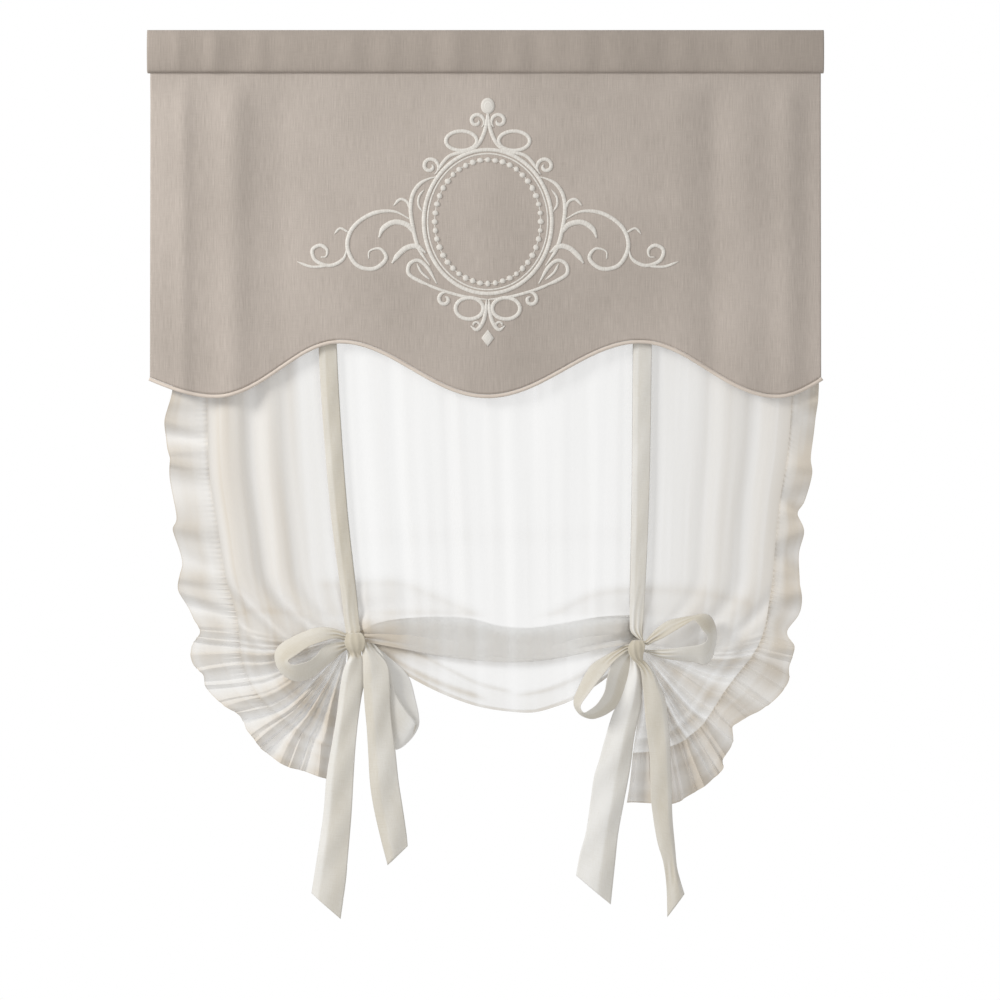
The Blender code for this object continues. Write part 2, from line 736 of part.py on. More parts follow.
def ribbon(name, stations, material, collection):
    """A flat ribbon through its stations: (middle, half of its width as a vector, dish).

    Where the ribbon doubles back it folds over, so its width never turns by more than a quarter.
    """
    halves = [stations[0][1]]
    for middle, half, dish in stations[1:]:
        halves.append(-half if half.dot(halves[-1]) < 0 else half)

    def place(column, row):
        middle, half, dish = stations[row]
        return middle + halves[row] * (column - 1) + (dish if column == 1 else Vector())

    return cloth(name, 2, len(stations) - 1, place, RIBBON_CLOTH, material, collection)


def station(x, y, z, run, half_width, tilt=0.0, dish=0.0):
    """A ribbon station: its width lies across its run, turned out of the curtain by tilt."""
    run = Vector((run[0], 0.0, run[1])).normalized()
    across = Vector((-run.z, 0.0, run.x))
    half = across * (half_width * math.cos(tilt)) + Vector((0.0, half_width * math.sin(tilt), 0.0))
    return Vector((x, y, z)), half, Vector((0.0, -dish, 0.0))


def strap_stations(knot, top_x, top_y, y, end_drop):
    """From the header down to just above the knot, narrowing as it comes in."""
    stations = []
    upper = (PANEL_TOP_DROP, BELOW_HEADER, 0.08, 0.12, 0.18, 0.40, 0.60, 0.75, 0.90)
    for drop in (*upper, end_drop - 0.06, end_drop - 0.025, end_drop):
        narrow = smooth((drop - 0.86) / (end_drop - 0.86))
        half = blend(STRAP_HALF_WIDTH, STRAND_HALF_WIDTH, narrow)
        depth = blend(top_y, y, smooth((drop - BELOW_HEADER) / 0.14))
        lean = strap_x(knot, top_x, drop + 0.01) - strap_x(knot, top_x, drop - 0.01)
        stations.append(station(strap_x(knot, top_x, drop), depth, -drop, (lean, -0.02), half))
    return stations


def loop_stations(knot, loop, y_out, y_back):
    """Out from the knot and back to it, in the shape of a drop."""
    angle, reach, belly, bulge, tilt, half_width, turn = loop
    ahead = Vector((math.cos(math.radians(angle)), math.sin(math.radians(angle))))
    across = Vector((-ahead.y, ahead.x)) * turn
    stations = []
    for step in range(1, LOOP_STEPS):
        phase = 2 * math.pi * step / LOOP_STEPS
        out = (1 - math.cos(phase)) / 2
        side = math.sin(phase) * out
        spot = Vector((knot[0], -knot[1])) + ahead * reach * out + across * belly * side
        run_out = math.sin(phase) / 2
        run_side = math.cos(phase) * out + math.sin(phase) * math.sin(phase) / 2
        run = ahead * reach * run_out + across * belly * run_side
        depth = (y_out + y_back) / 2 + (y_out - y_back) / 2 * math.cos(phase / 2) - bulge * out**2.5
        half = blend(STRAND_HALF_WIDTH, half_width, math.sin(phase / 2) ** 1.2)
        lean = math.radians(tilt) * math.sin(phase / 2) ** 4
        stations.append(station(spot.x, depth, spot.y, run, half, -lean * turn))
    return stations


def tail_stations(knot, tail, y_start, y_end, start_half):
    """From under the knot down to the slanting cut end."""
    points, half_widths, end_left, end_right = tail
    path = through([(knot[0] + x, -knot[1] + z) for x, z in points], TAIL_STEPS // (len(points) - 1))
    stations = []
    for index, spot in enumerate(path):
        share = index / (len(path) - 1)
        before = path[max(index - 1, 0)]
        after = path[min(index + 1, len(path) - 1)]
        run = (after[0] - before[0], after[1] - before[1])
        spread = smooth(share * 2.2)
        half = blend(start_half, half_widths, spread)
        depth = blend(y_start, y_end, smooth(share * 3))
        stations.append(station(spot[0], depth, spot[1], run, half, 0.0, 0.002 * spread))
    left = Vector((knot[0] + end_left[0], y_end, -knot[1] + end_left[1]))
    right = Vector((knot[0] + end_right[0], y_end, -knot[1] + end_right[1]))
    stations[-1] = ((left + right) / 2, (right - left) / 2, Vector((0.0, -0.002, 0.0)))
    return stations


def bow(side, knot, top_x, loops, tails, levels, material, collection):
    """One tie: the front ribbon makes both loops, and the back one wraps it."""
    first_loop, second_loop = loops
    front_tail, back_tail = tails
    through_y, return_y, tail_y = levels
    front_y = FRONT_RIBBON_TOP_Y - CLEARANCE
    turn = -1 if side == "left" else 1
    front = strap_stations(knot, top_x, FRONT_RIBBON_TOP_Y, front_y, knot[1] - 0.010)
    front += loop_stations(knot, first_loop, front_y, through_y)
    front.append(station(knot[0], through_y, -knot[1], (-turn, 0.0), STRAND_HALF_WIDTH))
    front += loop_stations(knot, second_loop, through_y, return_y)
    returned = (front[-1][0].x - knot[0], front[-1][0].z + knot[1])
    fold_y = (return_y + tail_y) / 2
    front.append(station(knot[0], fold_y, -knot[1], (-returned[0], -returned[1]), STRAND_HALF_WIDTH))
    front += tail_stations(knot, front_tail, tail_y, tail_y, STRAND_HALF_WIDTH)
    ribbon(f"{side}_front_ribbon", front, material, collection)

    wrap_back = front_y - KNOT_BACK_GAP
    wrap_front = min(levels) - LAYER_STEP - RIBBON_CLOTH / 2
    under = knot[1] + PINCH_HEIGHT / 2 + 0.006
    over = knot[1] - KNOT_HEIGHT / 2
    across = Vector((1.0, 0.0, 0.0))
    back = strap_stations(knot, top_x, BACK_RIBBON_TOP_Y, BACK_RIBBON_Y, knot[1] - 0.010)
    path = [
        (BACK_RIBBON_Y, knot[1] + 0.008, STRAND_HALF_WIDTH),
        (BACK_RIBBON_Y - 0.004, under - 0.002, STRAND_HALF_WIDTH),
        (BACK_RIBBON_Y - 0.010, under, STRAND_HALF_WIDTH),
        (wrap_back + 0.004, under, STRAND_HALF_WIDTH),
        (wrap_back + 0.001, under - 0.0015, STRAND_HALF_WIDTH),
        (wrap_back, under - 0.005, STRAND_HALF_WIDTH),
        (wrap_back, over + 0.008, KNOT_HALF_WIDTH * 0.8),
        (wrap_back - 0.001, over + 0.003, KNOT_HALF_WIDTH * 0.9),
        (wrap_back - 0.004, over, KNOT_HALF_WIDTH),
        (wrap_front + 0.004, over, KNOT_HALF_WIDTH),
        (wrap_front + 0.001, over + 0.003, KNOT_HALF_WIDTH),
        (wrap_front - 0.0015, over + 0.010, KNOT_HALF_WIDTH),
        (wrap_front - 0.002, over + 0.018, KNOT_HALF_WIDTH * 0.95),
        (wrap_front, over + 0.028, KNOT_HALF_WIDTH * 0.75),
    ]
    for y, drop, half_width in path:
        back.append((Vector((knot[0], y, -drop)), across * half_width, Vector()))
    back += tail_stations(knot, back_tail, wrap_front, wrap_front, KNOT_HALF_WIDTH * 0.65)
    ribbon(f"{side}_back_ribbon", back, material, collection)


def left_bow(material, collection):
    layers = [FRONT_RIBBON_TOP_Y - KNOT_STANDOFF - LAYER_STEP * index for index in range(3)]
    loops = (
        (194, 0.134, 0.050, 0.020, 48, LOOP_HALF_WIDTH, 1),
        (-62, 0.168, 0.014, 0.001, 0, LOOP_HALF_WIDTH * 0.8, 1),
    )
    front_tail = (
        [(0.012, -0.030), (0.040, -0.100), (0.050, -0.190), (0.053, -0.270), (0.076, -0.378)],
        TAIL_HALF_WIDTH,
        (0.059, -0.396),
        (0.094, -0.362),
    )
    back_tail = (
        [(0.0, -0.028), (-0.010, -0.100), (-0.021, -0.210), (-0.032, -0.320), (-0.052, -0.468)],
        TAIL_HALF_WIDTH,
        (-0.076, -0.446),
        (-0.025, -0.491),
    )
    bow("left", LEFT_KNOT, LEFT_STRAP_TOP, loops, (front_tail, back_tail), layers, material, collection)


def right_bow(material, collection):
    layers = [FRONT_RIBBON_TOP_Y - KNOT_STANDOFF - LAYER_STEP * index for index in (2, 1, 0)]
    loops = (
        (14, 0.140, 0.040, 0.020, 48, LOOP_HALF_WIDTH, 1),
        (226, 0.140, 0.030, 0.014, 15, LOOP_HALF_WIDTH * 0.75, 1),
    )
    front_tail = (
        [(-0.004, -0.034), (-0.024, -0.140), (-0.042, -0.226), (-0.057, -0.320), (-0.074, -0.428)],
        TAIL_HALF_WIDTH * 1.1,
        (-0.105, -0.401),
        (-0.043, -0.453),
    )
    back_tail = (
        [(0.006, -0.028), (0.035, -0.120), (0.043, -0.195), (0.046, -0.286), (0.072, -0.455)],
        TAIL_HALF_WIDTH * 0.75,
        (0.057, -0.474),
        (0.087, -0.433),
    )
    bow("right", RIGHT_KNOT, RIGHT_STRAP_TOP, loops, (front_tail, back_tail), layers, material, collection)


def build():
    clear_scene()
    curtain = new_collection("tie_up_curtain")
    guides = new_collection("guides")
    guides.hide_render = True
    linen = new_material("taupe_linen", (0.46, 0.40, 0.35), 0.9)
    header_linen = new_material("taupe_header_linen", (0.42, 0.37, 0.32), 0.9)
    cord = new_material("cream_piping", (0.78, 0.72, 0.62), 0.8)
    thread = new_material("cream_thread", (0.80, 0.76, 0.70), 0.6)
    voile = new_material("white_voile", (0.86, 0.85, 0.83), 0.8)
    ruffle_voile = new_material("white_ruffle_voile", (0.86, 0.85, 0.83), 0.8)
    ribbon_cloth = new_material("beige_ribbon", (0.66, 0.62, 0.56), 0.7)

    cloth("header_band", HEADER_COLUMNS, HEADER_ROUND, header_point, HEADER_CLOTH, header_linen, curtain)
    cloth("valance_panel", VALANCE_COLUMNS, VALANCE_ROWS, valance_point, VALANCE_CLOTH, linen, curtain)
    piping(cord, curtain)
    stitch = new_stitch_profile(guides)
    embroidery(stitch, thread, curtain)
    embroidered_beads(stitch, thread, curtain)
    cloth("voile_panel", voile_columns(), voile_rows(), voile_point, VOILE_CLOTH, voile, curtain)
    ruffle("left_ruffle", 0, -1, LEFT_RUFFLE_WIDTHS, ruffle_voile, curtain)
    ruffle("right_ruffle", voile_columns(), 1, RIGHT_RUFFLE_WIDTHS, ruffle_voile, curtain)
    left_bow(ribbon_cloth, curtain)
    right_bow(ribbon_cloth, curtain)


build()
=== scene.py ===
import math

import bpy
import numpy as np
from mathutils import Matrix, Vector


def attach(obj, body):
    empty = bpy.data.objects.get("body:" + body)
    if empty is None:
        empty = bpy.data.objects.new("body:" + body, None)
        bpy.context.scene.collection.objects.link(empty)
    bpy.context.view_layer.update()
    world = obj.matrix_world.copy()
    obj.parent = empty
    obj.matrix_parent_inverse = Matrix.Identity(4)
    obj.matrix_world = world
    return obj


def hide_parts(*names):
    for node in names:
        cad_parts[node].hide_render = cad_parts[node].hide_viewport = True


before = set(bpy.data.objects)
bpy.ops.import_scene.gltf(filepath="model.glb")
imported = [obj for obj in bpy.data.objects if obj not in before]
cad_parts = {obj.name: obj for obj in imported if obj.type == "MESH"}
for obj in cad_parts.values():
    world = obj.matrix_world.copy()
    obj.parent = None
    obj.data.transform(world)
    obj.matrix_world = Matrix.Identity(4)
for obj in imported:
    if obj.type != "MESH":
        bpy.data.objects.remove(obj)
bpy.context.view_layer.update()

# %% [markdown]
# ## Measures
# The origin is the middle of the rod pocket, X runs right, Z up, and the front faces -Y. A "drop"
# is a distance down from the rod. Outlines were measured in the picture's pixels, and the header
# band, 1.20 m wide, makes one pixel 1.775 mm, so one short helper turns pixels into metres.
# %% Measures and small helpers
PIXEL = 0.001775
MIDDLE_COLUMN = 485.5
ROD_ROW = 51.5
MILLIMETRE = 0.001
SEWN_DROP = 0.028


def from_picture(points):
    """Metres from rows of (column, row), as (x, drop)."""
    points = np.array(points, float)
    return (points - (MIDDLE_COLUMN, ROD_ROW)) * PIXEL


def blend(start, end, share):
    return start + (end - start) * share


def smooth(share):
    share = np.clip(share, 0.0, 1.0)
    return share * share * (3 - 2 * share)


def bell(distance):
    return np.exp(-(distance**2))


def stacked(*parts):
    """One array from parts that are first stretched to the same shape."""
    return np.stack(np.broadcast_arrays(*parts), axis=-1)


def distance_along(points):
    """How far along its line each point is."""
    return np.concatenate([[0], np.cumsum(np.linalg.norm(np.diff(points, axis=0), axis=1))])


def rows_at(places, known, rows):
    """Rows of numbers, read off at places between the known ones."""
    return np.stack([np.interp(places, known, column) for column in np.transpose(rows)], axis=-1)


def curve_through(points, count):
    """A smooth curve through the points, as count + 1 evenly spaced ones."""
    points = np.array(points, float)
    gaps = np.diff(points, axis=0)
    spans = np.sqrt(np.linalg.norm(gaps, axis=1))[:, None]
    slopes = gaps / spans
    inner = (slopes[:-1] * spans[1:] + slopes[1:] * spans[:-1]) / (spans[:-1] + spans[1:])
    tangents = np.vstack([slopes[:1], inner, slopes[-1:]])
    step = np.linspace(0, 1, 24, endpoint=False)[:, None]
    runs = []
    for start, gap, span, leaving, coming in zip(points, gaps, spans, tangents, tangents[1:]):
        rise = (3 * step**2 - 2 * step**3) * gap
        bend = (step**3 - 2 * step**2 + step) * span * leaving + (step**3 - step**2) * span * coming
        runs.append(start + rise + bend)
    dense = np.vstack([*runs, points[-1:]])
    length = distance_along(dense)
    return rows_at(np.linspace(0, length[-1], count + 1), length, dense)


def fold_waves(phase):
    """Folds of uneven depth and pitch, from a few waves added up."""
    return 0.6 * np.sin(phase) + 0.3 * np.sin(phase * 1.73 + 1.1) + 0.25 * np.sin(phase * 2.61 + 0.4)


print("one pixel is", PIXEL * 1000, "mm")

# %% [markdown]
# ## Making cloth
# A piece of cloth is a grid of points that a formula places. Its UV map holds the flat cloth's own
# metres, so a weave drawn on the UV map follows every fold without stretching. A mesh built from
# arrays is quick, and it keeps full control of where each fold runs.
# %% A sheet of cloth from a grid of points
def smooth_object(name, points, faces, flat, finish):
    """An object from points, faces and the flat cloth's place for each corner of each face."""
    mesh = bpy.data.meshes.new(name)
    mesh.from_pydata(points, [], faces)
    layer = mesh.uv_layers.new(name="flat_cloth")
    layer.data.foreach_set("uv", np.asarray(flat, np.float32).ravel())
    mesh.materials.append(finish)
    mesh.shade_smooth()
    obj = bpy.data.objects.new(name, mesh)
    bpy.context.scene.collection.objects.link(obj)
    return obj


def cloth_piece(name, spots, flat, finish, thickness=0.0, density_and_painted_shade=None):
    """A sheet from spots (rows, columns, 3) and the flat cloth's metres (rows, columns, 2)."""
    rows, columns = spots.shape[:2]
    number = np.arange(rows * columns).reshape(rows, columns)
    faces = np.stack([number[:-1, :-1], number[1:, :-1], number[1:, 1:], number[:-1, 1:]], axis=-1)
    faces = faces.reshape(-1, 4)
    at_corners = flat.reshape(-1, 2)[faces.ravel()]
    obj = smooth_object(name, spots.reshape(-1, 3).tolist(), faces.tolist(), at_corners, finish)
    if density_and_painted_shade is not None:
        attribute = obj.data.attributes.new("layers", "FLOAT", "POINT")
        attribute.data.foreach_set("value", density_and_painted_shade.astype(np.float32).ravel())
    if thickness:
        solidify = obj.modifiers.new("Thickness", "SOLIDIFY")
        solidify.thickness = thickness
        solidify.offset = 0.0
    print(name, rows, "x", columns, "points")
    return obj


def flat_grid(rows, columns, length, width):
    """The flat cloth's metres for an evenly woven sheet."""
    return stacked(np.linspace(0, width, columns)[None, :], np.linspace(0, length, rows)[:, None])


# %% [markdown]
# ## Writing a shader as sums
# A cloth's colour and height are sums of noises and waves. Wrapping a socket in a small class
# lets Python's own operators add the Math nodes, so the recipe of each weave reads as a formula.
# %% Sockets that can be added up
class Wire:
    """One output in a node tree, on which sums can be written."""

    def __init__(self, recipe, socket):
        self.recipe = recipe
        self.socket = socket

    def math(self, operation, *others):
        values = dict(enumerate(others, 1))
        return self.recipe.node("ShaderNodeMath", {"operation": operation}, {0: self, **values})

    def __add__(self, other):
        return self.math("ADD", other)

    def __mul__(self, other):
        return self.math("MULTIPLY", other)

    def __sub__(self, other):
        return self.math("SUBTRACT", other)

    def __rsub__(self, other):
        return (self * -1) + other

    def clip(self):
        return self.math("MAXIMUM", 0.0).math("MINIMUM", 1.0)


class Recipe:
    """A node tree under construction, with one way to add any node."""

    def __init__(self, tree):
        self.tree = tree

    def node(self, kind, settings=None, inputs=None, output=0):
        made = self.tree.nodes.new(kind)
        for key, value in (settings or {}).items():
            setattr(made, key, value)
        for key, value in (inputs or {}).items():
            self.feed(made.inputs[key], value)
        return Wire(self, made.outputs[output])

    def feed(self, socket, value):
        if isinstance(value, Wire):
            self.tree.links.new(value.socket, socket)
        else:
            socket.default_value = value


class Finish(Recipe):
    """A material, with the steps that the cloths share."""

    def __init__(self, name, colour, roughness, sheen=0.0):
        self.material = bpy.data.materials.new(name)
        self.material.use_nodes = True
        super().__init__(self.material.node_tree)
        self.shader = self.tree.nodes["Principled BSDF"]
        self.shader.inputs["Base Color"].default_value = (*colour, 1.0)
        self.shader.inputs["Roughness"].default_value = roughness
        self.shader.inputs["Specular IOR Level"].default_value = 0.25
        if sheen:
            self.shader.inputs["Sheen Weight"].default_value = sheen
            self.shader.inputs["Sheen Roughness"].default_value = 0.5

    def cloth(self, across, down):
        """The flat cloth's metres, stretched by a factor each way."""
        flat = self.node("ShaderNodeTexCoord", output="UV")
        return self.node("ShaderNodeMapping", inputs={"Vector": flat, "Scale": (across, down, 1.0)})

    def layers(self):
        """The number that the mesh keeps at each point: how much cloth there is, with painted shade and
        painted highlight.
        """
        return self.node("ShaderNodeAttribute", {"attribute_name": "layers"}, output="Fac")

    def noise(self, vector, detail=2.0, roughness=0.5):
        inputs = {"Vector": vector, "Scale": 1.0, "Detail": detail, "Roughness": roughness}
        return self.node("ShaderNodeTexNoise", {"noise_dimensions": "2D"}, inputs)

    def mix(self, factor, first, second):
        """Between two colours. A Mix node's colour sockets are its inputs 6 and 7 and output 2."""
        inputs = {0: factor, 6: (*first, 1.0), 7: (*second, 1.0)}
        return self.node("ShaderNodeMix", {"data_type": "RGBA"}, inputs, output=2)

    def colour(self, wire):
        self.feed(self.shader.inputs["Base Color"], wire)

    def bump(self, height, distance, strength):
        inputs = {"Height": height, "Distance": distance, "Strength": strength}
        self.feed(self.shader.inputs["Normal"], self.node("ShaderNodeBump", inputs=inputs))


# %% [markdown]
# ## Linen, voile, ribbon and thread
# Linen shows long slubs: threads that thicken here and there, mostly up and down. Voile is a fine
# open weave, so part of what is behind it shows. How much depends on how closely it is gathered,
# which the mesh keeps as its "layers": one where the cloth hangs flat, more
# in gathers, and raised or lowered along folds and creases as painted shade and painted highlight.
# Where that number is high the voile is also tinted deeper, partly the colour of more cloth and
# partly painted shade. Ribbon is a close plain weave, and the same number says how much deeper in
# colour than usual it is: above zero where it is doubled, and painted shade where it is turned away
# or in the hollows of its gathers; below zero a painted highlight. The satin stitches of the
# cartouche lie side by side across each line.
# %% The finishes
def linen(name, light, dark):
    finish = Finish(name, light, 0.92, sheen=0.15)
    slubs = finish.noise(finish.cloth(900, 28), 3.0, 0.6)
    cross = finish.noise(finish.cloth(40, 1100), 2.0, 0.6)
    patches = finish.noise(finish.cloth(5, 3))
    shade = (slubs - 0.5) * 1.5 + (cross - 0.5) * 0.5 + (patches - 0.5) * 1.0 + 0.5
    finish.colour(finish.mix(shade.clip(), dark, light))
    finish.bump(slubs + cross * 0.8, 0.0006, 0.6)
    return finish.material


def close_weave(name, light, dark, threads):
    finish = Finish(name, light, 0.75, sheen=0.25)
    along = finish.noise(finish.cloth(threads, 60))
    across = finish.noise(finish.cloth(60, threads))
    patches = finish.noise(finish.cloth(22, 5))
    doubling_and_painted_shade = finish.layers()
    # The mesh's number adds the ribbon's doubling and its painted shade and painted highlight; the piping has
    # none.
    shade = (along - 0.5) * 0.25 + (across - 0.5) * 0.25 + (patches - 0.5) * 0.7 + doubling_and_painted_shade + 0.5
    finish.colour(finish.mix(shade.clip(), light, dark))
    finish.bump(along + across, 0.0002, 0.25)
    return finish.material


CLEAR_OF_ONE_LAYER = 0.60
TINT_AND_SHADE_OF_GATHERS = 0.26


def sheer(name, light, gathered_and_shaded):
    finish = Finish(name, light, 0.85, sheen=0.1)
    density_and_painted_shade = finish.layers()
    threads = finish.noise(finish.cloth(500, 40))
    gathers = finish.noise(finish.cloth(34, 1.1))
    uneven = density_and_painted_shade * ((gathers - 0.5) * 0.9 + (threads - 0.5) * 0.02 + 1.0)
    # Denser voile turns deeper in colour: partly the colour of more cloth, partly painted shade.
    depth = ((uneven - 1.0) * TINT_AND_SHADE_OF_GATHERS).clip()
    finish.colour(finish.mix(depth, light, gathered_and_shaded))
    clear = finish.node("ShaderNodeMath", {"operation": "POWER"}, {0: CLEAR_OF_ONE_LAYER, 1: uneven})
    finish.feed(finish.shader.inputs["Alpha"], (1.0 - clear).clip())
    finish.bump(gathers + threads * 0.01, 0.0012, 0.5)
    return finish.material


def satin_stitch(name, light, dark):
    finish = Finish(name, light, 0.5, sheen=0.3)
    stitches = finish.noise(finish.cloth(1800, 60), 1.0)
    shade = (stitches - 0.5) * 1.2 + 0.6
    finish.colour(finish.mix(shade.clip(), dark, light))
    finish.bump(stitches, 0.0005, 0.8)
    return finish.material


valance_linen = linen("valance_linen", (0.605, 0.533, 0.473), (0.44, 0.385, 0.337))
# The header band's linen is the valance linen made darker, which is painted shade.
header_linen = linen("header_linen", (0.49, 0.425, 0.37), (0.365, 0.315, 0.272))
piping_cloth = close_weave("piping_cloth", (0.81, 0.72, 0.63), (0.67, 0.575, 0.495), 700)
thread = satin_stitch("cream_thread", (0.88, 0.85, 0.79), (0.66, 0.61, 0.55))
# The voile's second colour is for dense cloth: more cloth, with painted shade.
voile = sheer("white_voile", (0.845, 0.838, 0.818), (0.68, 0.608, 0.510))
# The ribbon's second colour is reached where it is doubled and where painted shade is laid on it.
ribbon_cloth = close_weave("beige_ribbon", (0.90, 0.885, 0.85), (0.63, 0.57, 0.455), 900)
print("finishes:", len(bpy.data.materials))

# %% [markdown]
# ## The header band
# The band is one strip of linen folded over the rod and sewn to the panels below. Round the
# pocket it is a flattened tube whose two legs hold the panels, and along its width it swells
# softly where the cloth bunches on the rod.
# %% Build the header band
HEADER_WIDTH = 1.200
HEADER_HEIGHT = 0.076
HEADER_DEPTH = 0.028
HEADER_CLOTH = 0.0016
LEG_INSIDE = 0.00255
STRIP_LENGTH = 0.19
HEADER_SWELLS = ((9, 0.0010), (23, 0.0011), (41, 0.0008))
HEADER_BUNCHES = (
    (0.045, 0.0022, 0.010), (0.098, 0.0030, 0.012), (0.168, 0.0028, 0.016), (0.235, 0.0016, 0.015),
)


def header_spots(columns, rows):
    """Round the pocket from one foot to the other, at each place along the band."""
    share, turn_share = np.meshgrid(np.linspace(0, 1, columns), np.linspace(0, 1, rows))
    half_depth = (HEADER_DEPTH - HEADER_CLOTH) / 2
    foot_y = LEG_INSIDE + HEADER_CLOTH / 2
    foot_angle = math.acos(foot_y / half_depth)
    half_height = (HEADER_HEIGHT - HEADER_CLOTH / 2) / (1 + math.sin(foot_angle))
    middle = HEADER_HEIGHT / 2 - HEADER_CLOTH / 2 - half_height
    turn = blend(-foot_angle, math.pi + foot_angle, turn_share)
    swell = sum(size * np.sin(share * math.pi * waves) for waves, size in HEADER_SWELLS)
    swell = swell * np.sin(share * math.pi) ** 0.5
    swell += sum(size * bell((share - place) / width) for place, size, width in HEADER_BUNCHES)
    bulge = (half_depth + swell) * np.sign(np.cos(turn)) * np.abs(np.cos(turn)) ** 0.6
    at_foot = smooth((np.sin(turn) + math.sin(foot_angle)) / 0.07)
    y = -blend(np.copysign(foot_y, np.cos(turn)), bulge, at_foot)
    return np.stack([(share - 0.5) * HEADER_WIDTH, y, middle + half_height * np.sin(turn)], axis=-1)


strip = flat_grid(64, 420, STRIP_LENGTH, HEADER_WIDTH)
header = cloth_piece("header_cloth", header_spots(420, 64), strip, header_linen, thickness=0.0014)
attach(header, "root")
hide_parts("header_band")

# %% [markdown]
# ## The valance
# The valance hangs almost flat, so a grid between its seam and its scalloped edge is enough. Soft
# upright folds near the sides come from a few bell curves, each with its place, height and width.
# %% Build the valance
VALANCE_WIDTH = 1.190
HALF_WIDTH = VALANCE_WIDTH / 2
VALANCE_TOP_Y = -0.00155
VALANCE_FORWARD = 0.011
BELOW_HEADER = 0.040
LOW_DROP = 0.609
PEAK_DROP = 0.512
END_DROP = 0.578
SCALLOP = (
    (-1.0, END_DROP), (-0.803, LOW_DROP), (-0.434, PEAK_DROP), (0.005, LOW_DROP), (0.461, PEAK_DROP),
    (0.867, LOW_DROP), (1.0, END_DROP),
)
VALANCE_FOLDS = (
    (-1.03, 0.0085, 0.070), (-0.90, -0.0032, 0.024), (-0.750, -0.0080, 0.050), (-0.61, 0.0022, 0.045),
    (0.58, -0.0025, 0.045), (0.68, 0.0045, 0.040), (0.78, -0.0025, 0.045), (0.90, -0.0038, 0.036),
    (0.965, 0.0020, 0.030),
)


def scallop_drop(x):
    """The drop of the lower edge: level at each low and peak, and eased between them."""
    share = np.clip(np.asarray(x) / HALF_WIDTH, -1, 1)
    drop = np.zeros_like(share)
    last = len(SCALLOP) - 2
    for index, (start, end) in enumerate(zip(SCALLOP, SCALLOP[1:])):
        part = np.clip((share - start[0]) / (end[0] - start[0]), 0, 1)
        eased = (1 - np.cos(part * math.pi)) / 2
        if index == 0:
            eased = np.sin(part * math.pi / 2)
        if index == last:
            eased = 1 - np.cos(part * math.pi / 2)
        inside = (share >= start[0]) & (share <= end[0])
        drop = np.where(inside, blend(start[1], end[1], eased), drop)
    return drop


def valance_y(x, drop):
    """The valance swings forward as it falls, and folds near its sides."""
    below = np.maximum(drop - BELOW_HEADER, 0.0)
    hang = below / (LOW_DROP - BELOW_HEADER)
    share = x / HALF_WIDTH
    folds = sum(size * bell((share - place) / width) for place, size, width in VALANCE_FOLDS)
    sway = 0.0012 * np.sin(share * 7.0) * hang
    return VALANCE_TOP_Y - VALANCE_FORWARD * hang + sway + folds * smooth(below / 0.06)


def valance_spots(columns, rows):
    x = np.linspace(-HALF_WIDTH, HALF_WIDTH, columns)[None, :]
    share = np.linspace(0, 1, rows)[:, None]
    drop = blend(SEWN_DROP, scallop_drop(x), share)
    return stacked(x, valance_y(x, drop), -drop)


spots = valance_spots(360, 120)
flat = stacked(spots[..., 0], -spots[..., 2])
valance = cloth_piece("valance_cloth", spots, flat, valance_linen, thickness=0.0013)
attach(valance, "root")
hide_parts("valance_panel")

# %% [markdown]
# ## Round pieces laid along a line
# The piping and every stitched line of the cartouche are long round forms. One helper joins rings
# of points into a tube, so both can share it. Its UV map runs along the tube and round it.
# %% Sweep a ring along a line
UV_ALONG = 0.001
UV_ROUND = 0.02


def swept(name, sweeps, finish):
    """One mesh from closed tubes, each (rings, closed) with rings (stations, points, 3)."""
    vertices, faces, flat = [], [], []
    for rings, closed in sweeps:
        start = len(vertices)
        stations, around = rings.shape[:2]
        vertices.extend(rings.reshape(-1, 3).tolist())
        run = distance_along(rings.mean(axis=1))
        for station in range(stations if closed else stations - 1):
            ahead = (station + 1) % stations
            for side in range(around):
                beside = (side + 1) % around
                corners = ((station, side), (ahead, side), (ahead, beside), (station, beside))
                faces.append([start + s * around + p for s, p in corners])
                for step, (_, p) in zip((0, 1, 1, 0), corners):
                    flat.append((run[station] + step * UV_ALONG, p / around * UV_ROUND))
        if not closed:
            for station, order in ((0, 1), (stations - 1, -1)):
                ring = [start + station * around + side for side in range(around)][::order]
                faces.append(ring)
                flat.extend((run[station], 0.0) for _ in ring)
    print(name, len(vertices), "points in", len(sweeps), "sweeps")
    return smooth_object(name, vertices, faces, flat, finish)


# %% [markdown]
# ## The piping
# A cord wrapped in cream cloth is sewn under the scalloped edge. It follows the valance's own
# edge, half its thickness below it.
# %% Build the piping
PIPING_RADIUS = 0.0032
PIPING_GAP = 0.0004
edge_x = np.linspace(-HALF_WIDTH, HALF_WIDTH, 520)
edge_drop = scallop_drop(edge_x)
edge = stacked(edge_x, valance_y(edge_x, edge_drop), -edge_drop)
edge_run = np.gradient(edge, axis=0)
down = stacked(edge_run[:, 2], 0.0, -edge_run[:, 0])
down /= np.linalg.norm(down, axis=1)[:, None]
angles = np.linspace(0, 2 * math.pi, 12, endpoint=False)
out = np.array([0.0, -1.0, 0.0])
core = edge + down * (PIPING_RADIUS + PIPING_GAP)
around = np.cos(angles)[None, :, None] * down[:, None] + np.sin(angles)[None, :, None] * out
rings = core[:, None] + PIPING_RADIUS * around
piping = swept("piping_cord", [(rings, False)], piping_cloth)
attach(piping, "root")
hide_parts("valance_piping")

